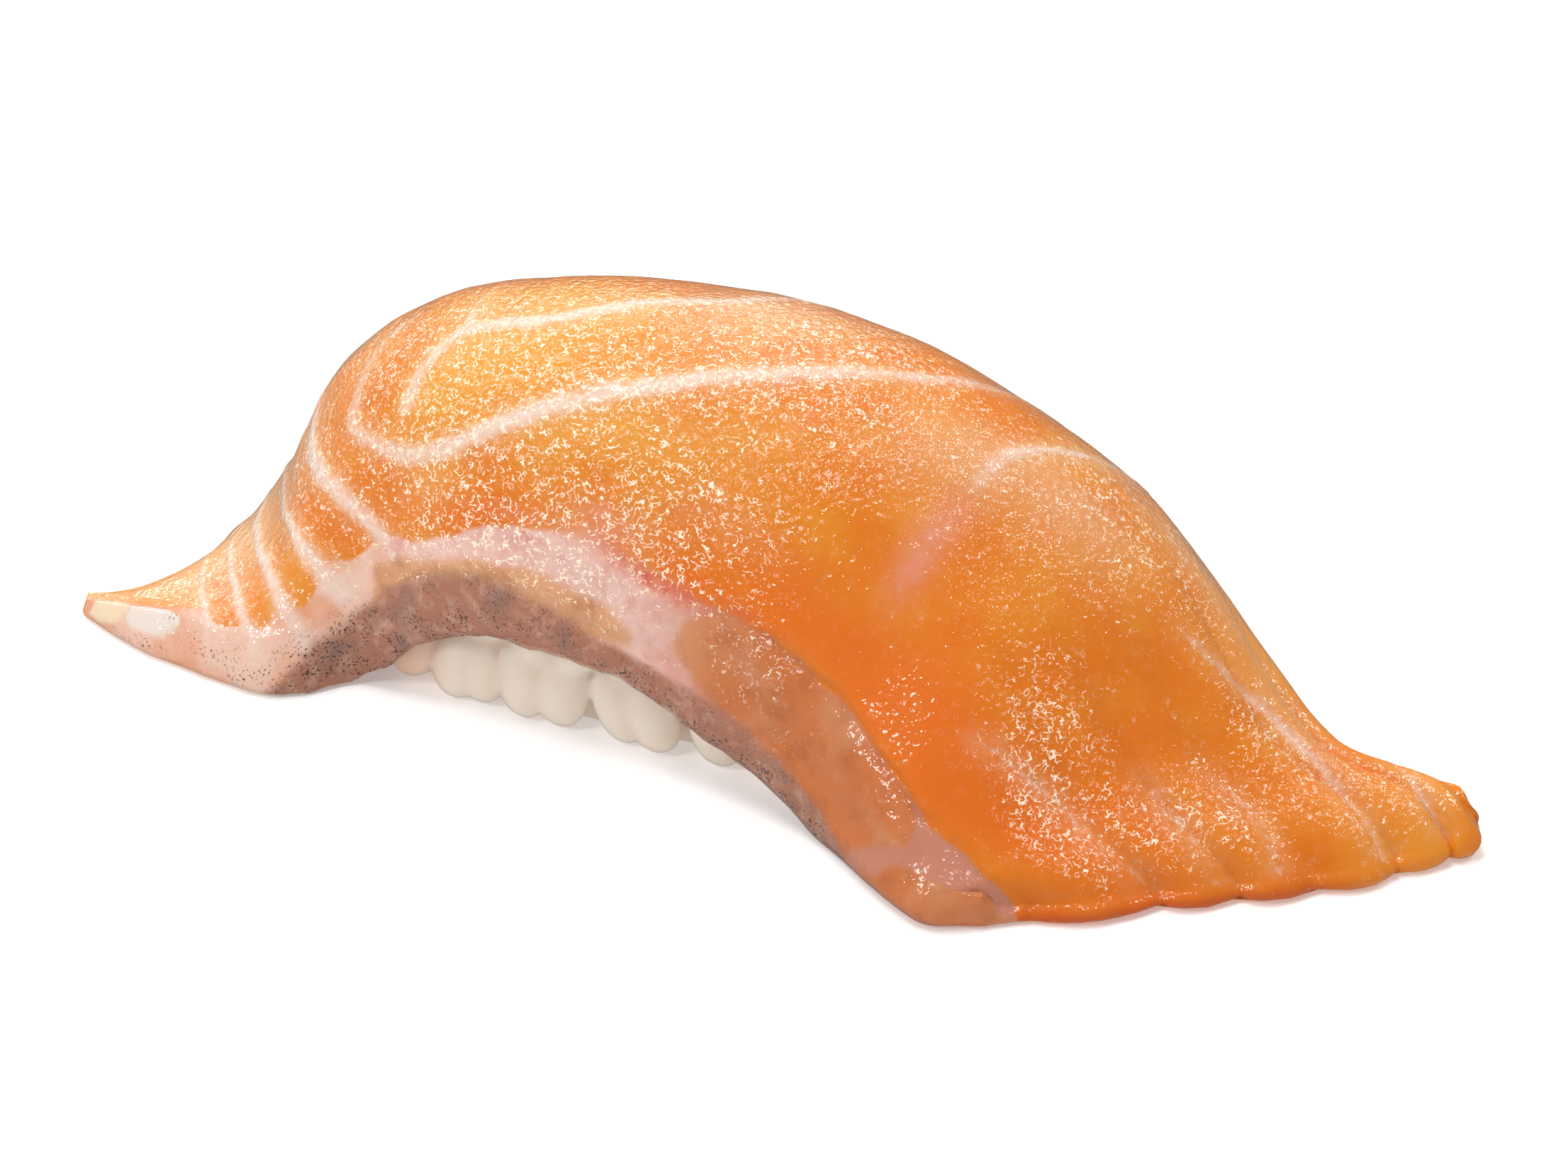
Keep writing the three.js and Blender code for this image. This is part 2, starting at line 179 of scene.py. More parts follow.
# ---- Curves and surfaces ---------------------------------------------------------------------
def curve_through(rows):
    """A smooth curve through rows of (key, values...): cubic pieces, whose slope at a row is the
    slope between its two neighbours. Returns a function from keys to points."""
    table = np.array(rows, float)
    keys = table[:, 0]
    values = table[:, 1:]
    slope = np.empty_like(values)
    slope[1:-1] = (values[2:] - values[:-2]) / (keys[2:] - keys[:-2])[:, None]
    slope[0] = (values[1] - values[0]) / (keys[1] - keys[0])
    slope[-1] = (values[-1] - values[-2]) / (keys[-1] - keys[-2])

    def at(key):
        key = np.asarray(key, float)
        i = np.clip(np.searchsorted(keys, key, "right") - 1, 0, len(keys) - 2)
        span = (keys[i + 1] - keys[i])[..., None]
        t = (key - keys[i])[..., None] / span
        keep = (1 + 2 * t) * (1 - t) ** 2
        leave = t * (1 - t) ** 2 * span
        arrive = t * t * (t - 1) * span
        return keep * values[i] + (1 - keep) * values[i + 1] + leave * slope[i] + arrive * slope[i + 1]

    return at


def level_between(pairs, key):
    """Straight pieces through (key, value) pairs, level beyond the ends."""
    table = np.array(pairs, float)
    return np.interp(key, table[:, 0], table[:, 1])


def ease(value, low, high):
    """0 below low, 1 above high, and a smooth step between."""
    t = np.clip((value - low) / (high - low), 0, 1)
    return t * t * (3 - 2 * t)


def between(value, start, full, fade, end):
    """0 below start, 1 from full to fade and 0 past end, with smooth steps."""
    return ease(value, start, full) * (1 - ease(value, fade, end))


def bell(value, middle, breadth):
    """A bell curve: 1 at the middle, falling off over the breadth."""
    return np.exp(-((value - middle) / breadth) ** 2)


near_edge = curve_through(NEAR_EDGE)
crest = curve_through(CREST)
far_edge = curve_through(FAR_EDGE)


def arch(station, across):
    """The smooth upper face. A section runs from the near edge over the crest to the far edge;
    its height over its distance from the crest is part of a superellipse."""
    station, across = np.broadcast_arrays(np.asarray(station, float), np.asarray(across, float))
    top = crest(station)
    edge = np.where((across < 0.5)[..., None], near_edge(station), far_edge(station))
    out = np.sin(np.abs(2 * across - 1) * ARCH_ANGLE)
    out_most = math.sin(ARCH_ANGLE)
    height = (1 - out ** ARCH_POWER) ** (1 / ARCH_POWER)
    lowest = (1 - out_most ** ARCH_POWER) ** (1 / ARCH_POWER)
    points = top + (edge - top) * (out / out_most)[..., None]
    points[..., 2] = edge[..., 2] + (top[..., 2] - edge[..., 2]) * (height - lowest) / (1 - lowest)
    return points


def unit(vectors):
    """Vectors at length one."""
    return vectors / (np.linalg.norm(vectors, axis=-1, keepdims=True) + 1e-12)


def arch_normal(station, across):
    """Outward normals of the arch, from the two small steps along and across it."""
    step = 0.01
    s0, s1 = np.maximum(station - step, 0), np.minimum(station + step, STATIONS)
    a0, a1 = np.maximum(across - step, 0), np.minimum(across + step, 1)
    along = arch(s1, across) - arch(s0, across)
    over = arch(station, a1) - arch(station, a0)
    return unit(np.cross(along, over))


def flute_crown(across):
    """0 on each flute line, 1 half way between two, and 0 outside them."""
    lines = np.array(FLUTE_LINES)
    i = np.clip(np.searchsorted(lines, across, "right") - 1, 0, len(lines) - 2)
    t = np.clip((across - lines[i]) / (lines[i + 1] - lines[i]), 0, 1)
    return np.sin(np.pi * t).clip(0) ** FLUTE_FULLNESS


def lattice_noise(points, size, seed):
    """Smooth noise from -1 to 1: random values on a cubic lattice of that size, eased between."""
    cells = 48
    table = np.random.default_rng(seed).uniform(-1, 1, (cells, cells, cells))
    place = points / size
    low = np.floor(place).astype(int)
    t = place - low
    t = t * t * (3 - 2 * t)
    total = np.zeros(points.shape[:-1])
    for corner in np.ndindex(2, 2, 2):
        weight = np.prod(np.where(np.array(corner) == 1, t, 1 - t), axis=-1)
        at = (low + corner) % cells
        total += weight * table[at[..., 0], at[..., 1], at[..., 2]]
    return total


def layered_noise(points, layers):
    """The sum of lattice noises: rows of (height, size, seed)."""
    return sum(height * lattice_noise(points, size, seed) for height, size, seed in layers)


def patches(station, across, rows):
    """Soft oval patches on the slice, each falling off as a bell curve: rows of (station, across,
    reach, breadth, amount)."""
    total = np.zeros(np.broadcast(station, across).shape)
    for at, over, reach, breadth, amount in rows:
        total += amount * np.exp(-((station - at) / reach) ** 2 - ((across - over) / breadth) ** 2)
    return total


def tone_share(station, across, rows):
    """Soft patches, held between 0 and 1."""
    return np.clip(patches(station, across, rows), 0, 1)


def distance_to(points, path):
    """Distance from each point to a path of straight pieces, and how far along the path it is
    nearest, from 0 to 1."""
    nearest = np.full(points.shape[:-1], np.inf)
    along = np.zeros(points.shape[:-1])
    steps = len(path) - 1
    for i in range(steps):
        run = path[i + 1] - path[i]
        t = np.clip((points - path[i]) @ run / (run @ run + 1e-12), 0, 1)
        gap = np.linalg.norm(points - path[i] - t[..., None] * run, axis=-1)
        closer = gap < nearest
        nearest = np.where(closer, gap, nearest)
        along = np.where(closer, (i + t) / steps, along)
    return nearest, along


# ---- Slice: where its colours and its relief lie ----------------------------------------------
# Sheets of connective tissue that show as pale lines. A path's rows are (station, across);
# "wide" is the line's half width in mm at its start, middle and end, "shows" how pale it is there.
PALE_LINES = {
    "outer_loop": dict(
        path=[(4.11, 0.547), (3.85, 0.445), (3.69, 0.34), (3.79, 0.275), (4.06, 0.22),
              (4.43, 0.19), (5.04, 0.22), (5.8, 0.305), (6.29, 0.348), (6.77, 0.403),
              (7.23, 0.485), (7.5, 0.56), (7.7, 0.655), (7.9, 0.80), (7.95, 0.97)],
        wide=(0.35, 0.60, 0.3), shows=(0.35, 0.9, 0.35)),
    "inner_loop": dict(
        path=[(4.22, 0.295), (4.31, 0.343), (4.52, 0.417), (4.69, 0.455), (4.96, 0.453),
              (5.29, 0.463), (5.8, 0.54), (6.2, 0.58), (6.44, 0.66), (6.7, 0.76), (6.9, 0.97)],
        wide=(0.5, 0.5, 0.3), shows=(0.6, 0.8, 0.3)),
    "loop_branch": dict(
        path=[(4.67, 0.46), (4.65, 0.52), (4.66, 0.585), (4.73, 0.62)],
        wide=(0.25, 0.2, 0.15), shows=(0.7, 0.4, 0.15)),
    "left_thick": dict(
        path=[(3.85, 0.95), (3.7, 0.76), (3.5, 0.60), (3.28, 0.482), (3.24, 0.40), (3.26, 0.357),
              (3.39, 0.275), (3.54, 0.20), (3.72, 0.14), (3.89, 0.092), (4.0, 0.07)],
        wide=(0.15, 0.62, 0.45), shows=(0.3, 1.0, 0.8)),
    "tail_1": dict(
        path=[(2.75, 0.95), (2.62, 0.70), (2.76, 0.405), (2.94, 0.288), (3.09, 0.20), (3.27, 0.12),
              (3.39, 0.055), (3.52, 0.015)],
        wide=(0.2, 0.36, 0.75), shows=(0.4, 1.0, 0.8)),
    "tail_2": dict(
        path=[(2.4, 0.95), (2.25, 0.72), (2.18, 0.56), (2.33, 0.388), (2.56, 0.263), (2.72, 0.165),
              (2.88, 0.077), (3.03, 0.02), (3.15, -0.03)],
        wide=(0.18, 0.32, 0.6), shows=(0.4, 1.0, 0.7)),
    "tail_3": dict(
        path=[(1.9, 0.79), (1.78, 0.638), (1.88, 0.425), (2.07, 0.255), (2.24, 0.115),
              (2.41, 0.018), (2.55, -0.04)],
        wide=(0.15, 0.25, 0.5), shows=(0.3, 0.85, 0.5)),
    "tail_4": dict(
        path=[(1.35, 0.8), (1.45, 0.458), (1.55, 0.242), (1.65, 0.115), (1.73, 0.0), (1.78, -0.03)],
        wide=(0.12, 0.2, 0.35), shows=(0.3, 0.75, 0.5)),
    "cross_sheet": dict(
        path=[(8.45, 0.96), (8.35, 0.78), (8.25, 0.64), (8.15, 0.557), (8.09, 0.497), (8.09, 0.465),
              (8.12, 0.43)],
        wide=(0.12, 0.22, 0.7), shows=(0.5, 0.85, 0.35)),
    "flute_1": dict(
        path=[(9.08, 0.215), (9.17, 0.235), (9.34, 0.26), (9.49, 0.283), (9.72, 0.29), (10, 0.286)],
        wide=(0.08, 0.10, 0.08), shows=(0.35, 0.55, 0.2)),
    "flute_2": dict(
        path=[(9.5, 0.388), (9.67, 0.388), (9.79, 0.383), (10, 0.365)],
        wide=(0.08, 0.10, 0.08), shows=(0.3, 0.5, 0.25)),
    "flute_3": dict(
        path=[(9.5, 0.45), (9.69, 0.46), (9.84, 0.45), (10, 0.428)],
        wide=(0.3, 0.25, 0.15), shows=(0.12, 0.3, 0.3)),
    "flute_4": dict(
        path=[(9.1, 0.53), (9.22, 0.58), (9.36, 0.655), (9.5, 0.682), (9.6, 0.675),
              (9.71, 0.647), (9.82, 0.62), (10, 0.593)],
        wide=(0.3, 0.35, 0.15), shows=(0.25, 0.6, 0.4)),
    "flute_5": dict(
        path=[(9.7, 0.86), (9.82, 0.81), (9.95, 0.785), (10, 0.785)],
        wide=(0.1, 0.14, 0.1), shows=(0.3, 0.6, 0.3)),
}
# Borders along the near side, as (station, across): the top of the pale pink strip and the
# brown lobes, where the orange flesh starts, and the top of the first brown lobe below it.
FLESH_BORDER = [
    (3.5, 0.06), (3.9, 0.08), (4.35, 0.05), (4.75, 0.052), (5.15, 0.068), (5.5, 0.08),
    (5.8, 0.09), (6.1, 0.095), (6.4, 0.085), (6.8, 0.075), (7.2, 0.082), (7.6, 0.088),
    (8.0, 0.088), (8.4, 0.088), (8.8, 0.086), (9.15, 0.095), (9.35, 0.106), (9.55, 0.125),
    (9.8, 0.118), (10, 0.085), (10.1, 0.10), (10.3, 0.155),
]
# Outlines of the brown muscle lobes and of the skin band, as (station, across).
LOBE_ONE = [
    (3.85, 0.035), (4.25, 0.03), (4.6, 0.023), (4.9, 0.022), (5.2, 0.023), (5.45, 0.031), (5.75, 0.034),
    (6.05, 0.031), (6.3, 0.026), (6.5, 0.012), (6.5, 0.0), (6.2, -0.03), (3.85, -0.03),
]
LOBE_TWO = [
    (6.84, 0.02), (6.9, 0.055), (7.2, 0.1), (9.05, 0.1), (9.18, 0.07), (9.22, 0.045), (9.0, 0.015),
    (8.88, -0.002), (8.7, -0.04), (8.62, -0.11), (8.3, -0.06), (7.1, -0.01),
]
LOBE_THREE = [
    (8.76, -0.13), (8.8, -0.06), (9.0, -0.052), (9.2, 0.0), (9.48, 0.03), (9.72, 0.045), (9.95, 0.03),
    (10.1, 0.045), (10.2, 0.12), (10.3, 0.17), (10.4, 0.17), (10.4, -0.13),
]
SKIN_BAND = [
    (2.7, -0.09), (2.95, -0.05), (3.2, -0.026), (3.5, -0.024), (3.8, -0.017), (4.0, -0.009),
    (4.5, -0.002), (4.9, 0.0), (5.4, -0.003), (5.8, -0.008), (6.2, -0.016), (6.6, -0.018),
    (7.0, -0.021), (7.4, -0.024), (7.95, -0.028), (8.3, -0.036), (8.5, -0.06), (8.66, -0.13),
    (2.5, -0.13),
]
# On the tail, the orange flesh ends lower down, in a round toe between each two pale lines.
TAIL_TOES = [
    (0.9, 0.15), (1.25, 0.16), (1.45, 0.15), (1.65, 0.13), (1.72, 0.06), (1.95, 0.035), (2.2, 0.05),
    (2.33, 0.09), (2.45, 0.04), (2.6, 0.04), (2.75, 0.09), (2.88, 0.10), (2.98, 0.055), (3.1, 0.05),
    (3.3, 0.075), (3.42, 0.10), (3.55, 0.07), (3.7, 0.06), (3.9, 0.08),
]
# The pale end of the tail: a golden oval at its very tip and a white nub behind it.
TIP_OVAL = [(0.08, -0.07), (0.13, 0.0), (0.3, 0.12), (0.5, 0.12), (0.6, -0.01), (0.5, -0.05), (0.26, -0.075)]
WHITE_NUB = [
    (0.6, -0.03), (0.64, 0.02), (0.8, 0.09), (1.1, 0.09), (1.24, 0.02), (1.28, -0.018), (1.16, -0.037),
    (0.9, -0.045), (0.7, -0.045),
]
# Soft patches of tone: (station, across, reach, breadth, amount).
# Deep orange flesh. The patch at station 10 is painted shade that darkens the top of the cut end where it
# turns down from the light.
DEEP_ORANGE_AND_END_SHADE = [
    (4.75, 0.09, 0.5, 0.03, 0.7), (5.3, 0.105, 0.3, 0.02, 0.35), (3.7, 0.12, 0.2, 0.05, 0.4),
    (6.9, 0.10, 0.3, 0.025, 0.7), (7.5, 0.125, 0.5, 0.045, 0.75), (8.3, 0.14, 0.55, 0.06, 0.95),
    (9.0, 0.17, 0.5, 0.09, 0.95), (9.6, 0.24, 0.5, 0.11, 0.8), (8.5, 0.30, 0.3, 0.09, 0.45),
    (9.5, 0.42, 0.5, 0.10, 0.4), (10.0, 0.25, 0.12, 0.2, 0.35), (3.3, 0.08, 0.12, 0.04, 0.3),
    (9.75, 0.68, 0.25, 0.12, 0.45),
]
GOLD_TONE = [
    (5.0, 0.37, 0.7, 0.10, 0.9), (4.5, 0.29, 0.35, 0.07, 0.8), (5.1, 0.54, 0.7, 0.09, 0.8),
    (5.8, 0.25, 0.8, 0.06, 0.75), (6.6, 0.25, 0.6, 0.09, 0.35), (5.85, 0.42, 0.5, 0.1, 0.3),
    (3.1, 0.17, 0.12, 0.05, 0.6), (9.2, 0.75, 0.5, 0.12, 0.35), (9.95, 0.72, 0.2, 0.12, 0.7),
]
# Pale peach flesh. The patches from station 6.6 on also carry a painted sheen along the top of the middle
# and the right shoulder.
PALE_AND_SHEEN_TONE = [
    (0.3, 0.6, 0.6, 0.9, 0.7), (1.2, 0.5, 0.5, 0.5, 0.75), (1.9, 0.72, 0.5, 0.3, 0.85),
    (2.5, 0.60, 0.5, 0.25, 0.7), (3.1, 0.55, 0.4, 0.2, 0.65), (3.6, 0.62, 0.5, 0.14, 0.5),
    (4.3, 0.75, 0.6, 0.10, 0.4), (7.9, 0.45, 0.35, 0.08, 0.6), (8.5, 0.50, 0.35, 0.07, 0.6),
    (9.0, 0.72, 0.35, 0.08, 0.4), (6.6, 0.58, 0.5, 0.12, 0.45),
    (8.6, 0.72, 0.4, 0.12, 0.35), (4.5, 0.13, 0.4, 0.05, 0.25), (9.4, 0.78, 0.3, 0.06, 0.4),
]
ROSY_TONE = [
    (8.16, 0.34, 0.11, 0.07, 0.75), (8.22, 0.27, 0.11, 0.05, 0.65), (6.15, 0.125, 0.4, 0.03, 0.7),
    (5.5, 0.10, 0.4, 0.012, 0.4), (6.83, 0.40, 0.12, 0.02, 0.5),
    (6.95, 0.18, 0.5, 0.03, 0.25), (6.4, 0.60, 0.5, 0.06, 0.3), (3.55, 0.2, 0.1, 0.1, 0.3),
]
# Patches of grit: how rough the wet film is, which sets its bump and how many painted glints are laid into
# its colour.
GRIT_TONE = [
    (4.4, 0.30, 1.0, 0.28, 1.0), (5.8, 0.30, 1.0, 0.26, 0.9), (6.5, 0.15, 0.7, 0.07, 1.0),
    (5.2, 0.08, 1.3, 0.05, 0.7), (7.0, 0.50, 0.7, 0.18, 0.8), (7.2, 0.26, 0.4, 0.10, 0.3),
    (8.6, 0.60, 0.5, 0.16, 0.8), (9.2, 0.31, 0.3, 0.06, 0.9), (9.6, 0.245, 0.4, 0.04, 0.8),
    (9.7, 0.34, 0.25, 0.03, 0.8), (9.75, 0.42, 0.2, 0.035, 0.8), (9.6, 0.58, 0.3, 0.07, 0.7),
    (9.7, 0.74, 0.3, 0.08, 0.35), (1.9, 0.3, 0.5, 0.25, 0.7), (3.1, 0.35, 0.3, 0.15, 0.7),
    (7.5, 0.04, 0.4, 0.05, 0.4),
]
STREAK_TONE = [
    (6.45, 0.082, 0.22, 0.010, 1.0), (6.2, 0.095, 0.15, 0.010, 0.6), (6.8, 0.078, 0.25, 0.010, 1.0),
    (7.3, 0.095, 0.2, 0.010, 0.4), (5.6, 0.07, 0.1, 0.006, 0.5),
]
SPECK_TONE = [
    (3.25, -0.04, 0.5, 0.03, 1.0), (2.6, -0.06, 0.4, 0.03, 1.0), (1.9, -0.04, 0.3, 0.03, 0.5),
    (1.2, 0.0, 0.10, 0.035, 1.0), (0.8, -0.07, 0.4, 0.016, 1.0), (1.5, -0.03, 0.3, 0.012, 0.8),
    (2.3, -0.07, 0.3, 0.02, 0.8),
]
# The grit outside its patches and on the cut edge, and how strong the painted shade is at the foot
# of the end face: darker orange painted where the face turns down, away from the light.
GRIT_LEAST = 0.12
GRIT_ON_EDGE = 0.15
END_FOOT_SHADE_PAINTED = 0.85
# Borders between colours stray with noise of a (size, seed), in mm. The outlines' soft margins are
# in mm too, and the flesh border's are shares across, wider over some stations.
LINE_WOBBLE = (0.9, 3)
RIPPLE = (1.7, 31)
FINE_RIPPLE = (0.6, 32)
LOBE_MARGIN = 0.4
SKIN_MARGIN = 0.45
TIP_MARGIN = 0.25
FLESH_MARGIN = 0.004
FLESH_MARGIN_MORE = 0.022
FADED_STATIONS = (5.6, 6.1, 6.8, 7.1)
TAIL_TO_BODY = (3.75, 4.05)

# ---- Slice: its relief, in millimetres ---------------------------------------------------------
# Rough surfaces are layers of noise: (height, size, seed). The flesh border strays by a share across.
SWELL = [(0.20, 7.0, 11), (0.09, 3.2, 12)]
GRIT = [(0.06, 1.0, 13), (0.03, 0.6, 14)]
BORDER_STRAY = [(0.006, 1.6, 5)]
EDGE_ROUGH = [(0.10, 1.3, 21), (0.16, 3.4, 22)]
FOOT_RAGGED = [(0.18, 0.8, 23)]
# The foot of the cut edge is ragged only where the edge is higher than this above the plate.
RAGGED_ABOVE = 5.0
# The face is sunk a little, so that its swells lie evenly about the arch.
SUNK = 0.03
FLESH_GROOVE = 0.06
LOBE_GROOVE = 0.30
LOBE_PLUMP = 0.35
PINK_LEDGE = 0.22
FLESH_RIM = 0.14
LINE_RISE = 0.10
HALO_RISE = 0.05
FLUTE_SWELL = 0.3
FLUTE_EVEN = 0.6
CREASE_CUT = 0.4
# Where each lies across the slice, as a bell curve's (middle, breadth). The groove and the rim are
# measured from the border of the flesh, the others from the near edge.
GROOVE_PLACE = (0, 0.008)
RIM_PLACE = (0.022, 0.014)
LOBE_PLACE = (0.045, 0.026)
LEDGE_PLACE = (0.012, 0.014)
# Where each lies along the slice: the stations between which it starts, and ends if it does.
LOBE_STATIONS = (7.2, 7.7, 9.1, 9.4)
PINK_STATIONS = (4.2, 4.8, 6.3, 6.7)
GROOVE_START = (4.0, 4.6)
RIM_START = (6.8, 7.4)
SWELL_START = (8.7, 9.4)
CREASE_START = (8.9, 9.3)
# The pale lines' border: how far it strays and how wide it fades, as shares of the line's half
# width, and the widths of the paler flesh round a line and of the crease along a flute line.
LINE_STRAY = 0.35
LINE_FADE = 2.1
HALO_WIDTH = 1.1
CREASE_WIDTH = 0.3


def outline_share(station, across, outline, stray, soft):
    """How far inside an outline each point lies, from 0 to 1, eased over a soft margin in mm. The
    border strays by the given mm."""
    points = np.stack([station * STATION_MM, across * ACROSS_MM], axis=-1)
    corners = np.array(outline) * (STATION_MM, ACROSS_MM)
    closed = np.concatenate([corners, corners[:1]])
    gap, _ = distance_to(points, closed)
    inside = np.zeros(station.shape, bool)
    for (x0, y0), (x1, y1) in zip(closed[:-1], closed[1:]):
        if y0 != y1:
            crossing = x0 + (points[..., 1] - y0) * (x1 - x0) / (y1 - y0)
            inside ^= ((y0 > points[..., 1]) != (y1 > points[..., 1])) & (points[..., 0] < crossing)
    return ease(np.where(inside, gap, -gap) + stray, -soft, soft)


def line_profile(values, along):
    """A value given at the start, middle and end of a line, eased along it."""
    return np.interp(along, (0, 0.45, 1), values)


def near_side(station, down):
    """A point of the near cut edge, a share of the way down from its top to its foot."""
    top = near_edge(station)
    run = near_edge(np.minimum(station + 0.05, STATIONS)) - near_edge(np.maximum(station - 0.05, 0))
    outward = unit(np.stack([run[..., 1], -run[..., 0], 0 * run[..., 0]], axis=-1))
    spread = level_between(EDGE_FLARE, top[..., 0]) * down + EDGE_BULGE * np.sin(np.pi * down)
    point = top + outward * spread[..., None]
    lowest = np.maximum(EDGE_LOWEST, top[..., 2] - level_between(EDGE_DROP, top[..., 0]))
    point[..., 2] = top[..., 2] + (lowest - top[..., 2]) * down
    return point


def skin_point(station, across):
    """A point of the arch, or of the near cut edge where across is below 0."""
    down = np.clip(across / EDGE_SHARE, 0, 1)
    return np.where((across < 0)[..., None], near_side(station, down), arch(station, np.maximum(across, 0)))


def line_cover(points, station, wobble):
    """How much each point is covered by the pale lines, from 0 to 1, how deep it lies in their
    paler surroundings, and how deep in the narrow crease along each flute line."""
    cover = np.zeros(points.shape[:-1])
    halo = np.zeros(points.shape[:-1])
    crease = np.zeros(points.shape[:-1])
    for name, line in PALE_LINES.items():
        row = np.array(line["path"], float)
        keys = np.linspace(0, 1, len(row))
        fine = curve_through(np.column_stack([keys, row]))(np.linspace(0, 1, 4 * len(row)))
        close = (station > row[:, 0].min() - 0.5) & (station < row[:, 0].max() + 0.5)
        gap, along = distance_to(points[close], skin_point(fine[:, 0], fine[:, 1]))
        half = line_profile(line["wide"], along)
        shows = line_profile(line["shows"], along)
        near = gap + LINE_STRAY * half * wobble[close]
        cover[close] = np.maximum(cover[close], shows * (1 - ease(near, 0.0, LINE_FADE * half)))
        halo[close] = np.maximum(halo[close], shows * bell(gap, 0, HALO_WIDTH))
        if name.startswith("flute"):
            crease[close] = np.maximum(crease[close], shows * bell(gap, 0, CREASE_WIDTH))
    return cover, halo, crease


def slice_grids():
    """The upper face as a grid: stations, shares across, the smooth arch, its normals, and the
    arch with its flutes, which bulge between their lines and end in scallops."""
    across = np.linspace(0, 1, ACROSS + 1)
    across = across - CLOSER * np.sin(2 * np.pi * across)
    station = np.linspace(0, STATIONS, ALONG + 1)[:, None] + np.zeros(ACROSS + 1)
    across = across[None, :] + np.zeros((ALONG + 1, 1))
    smooth = arch(station, across)
    normal = arch_normal(station, across)
    lift = FLUTE_DEPTH * ease(station, FLUTE_START, STATIONS) * flute_crown(across)
    upper = smooth + normal * lift[..., None]
    end_run = far_edge(STATIONS) - near_edge(STATIONS)
    end_outward = unit(np.array([end_run[1], -end_run[0], 0.0]))
    reach = END_SCALLOP * flute_crown(across) * ease(station, 9.8, STATIONS)
    upper = upper + end_outward * reach[..., None]
    corner = CORNER_PULL * ease(across, 0.86, 1.0) * ease(station, 9.8, STATIONS)
    upper[..., 0] -= corner
    return station, across, smooth, normal, upper


def border_places():
    """Row and column of the upper grid's border, anticlockwise from above."""
    i = np.arange(ALONG)
    j = np.arange(ACROSS)
    rows = np.concatenate([i, np.full(ACROSS, ALONG), ALONG - i, np.zeros(ACROSS, int)])
    columns = np.concatenate([np.zeros(ALONG, int), j, np.full(ALONG, ACROSS), ACROSS - j])
    return rows, columns


def flesh_border(station):
    """Where the orange flesh starts above the near edge, with its round toes on the tail."""
    rows = np.array(TAIL_TOES)
    toes = np.interp(station, rows[:, 0], rows[:, 1])
    body = curve_through(FLESH_BORDER)(np.clip(station, 3.5, STATIONS))[..., 0]
    return np.where(station < 3.95, toes, body)


def slice_relief(station, across, smooth, halo, cover, crease, grit_tone):
    """Height of the upper face over the arch, in mm: slow swells, fine grit, the raised pale
    lines, the plump brown lobes with a groove above them, and the flutes with their creases."""
    from_flesh = across + layered_noise(smooth, BORDER_STRAY) - flesh_border(station)
    margin = ease(np.minimum(across, 1 - across), 0.0, 0.03) * ease(station, 0.0, 0.4)
    swell = layered_noise(smooth, SWELL)
    grit = layered_noise(smooth, GRIT)
    on_lobe = between(station, *LOBE_STATIONS)
    under_pink = between(station, *PINK_STATIONS)
    groove = -(FLESH_GROOVE + LOBE_GROOVE * on_lobe) * bell(from_flesh, *GROOVE_PLACE)
    groove = groove * ease(station, *GROOVE_START)
    plump = LOBE_PLUMP * on_lobe * bell(across, *LOBE_PLACE) * ease(across, 0, 0.02)
    ledge = PINK_LEDGE * under_pink * bell(across, *LEDGE_PLACE) * ease(across, 0, 0.008)
    flesh_rim = FLESH_RIM * bell(from_flesh, *RIM_PLACE) * ease(station, *RIM_START)
    before_flutes = station < FLUTE_START
    raised = LINE_RISE * cover * before_flutes + HALO_RISE * halo * before_flutes
    flutes = FLUTE_SWELL * (flute_crown(across) - FLUTE_EVEN) * ease(station, *SWELL_START)
    flutes = flutes * ease(across, 0.05, 0.2)
    creases = CREASE_CUT * crease * ease(station, *CREASE_START)
    return (swell * margin - SUNK + grit * grit_tone + groove + plump + ledge + flesh_rim + raised
            + flutes - creases)


def cut_edge(upper, across, rows, columns):
    """The cut edge in rows from the upper face's border down to its foot: straight from one to the
    other, and pushed outward by a half sine. Also the foot, and each row's share of the way down."""
    start = upper[rows, columns]
    run = np.roll(start, -CORNER_STEPS, axis=0) - np.roll(start, CORNER_STEPS, axis=0)
    outward = unit(np.column_stack([run[:, 1], -run[:, 0], np.zeros(len(run))]))
    flare = level_between(EDGE_FLARE, start[:, 0])
    flare = flare + CORNER_FLARE * (rows == ALONG) * (1 - ease(across[rows, columns], 0.1, 0.35))
    foot = start + outward * flare[:, None]
    foot[:, 2] = np.maximum(EDGE_LOWEST, start[:, 2] - level_between(EDGE_DROP, start[:, 0]))
    foot[:, 2] += layered_noise(foot, FOOT_RAGGED) * (start[:, 2] > RAGGED_ABOVE)
    share = (np.arange(1, EDGE_ROWS + 1) / (EDGE_ROWS + 1))[:, None, None]
    bulge = EDGE_BULGE * (0.2 + 0.8 * ease(start[:, 0], -52, -46))[:, None]
    edge = start + (foot - start) * share + outward * (bulge * np.sin(np.pi * share))
    rough = layered_noise(edge, EDGE_ROUGH)
    edge = edge + outward * (rough * np.sin(np.pi * share[..., 0]))[..., None]
    return edge, foot, share


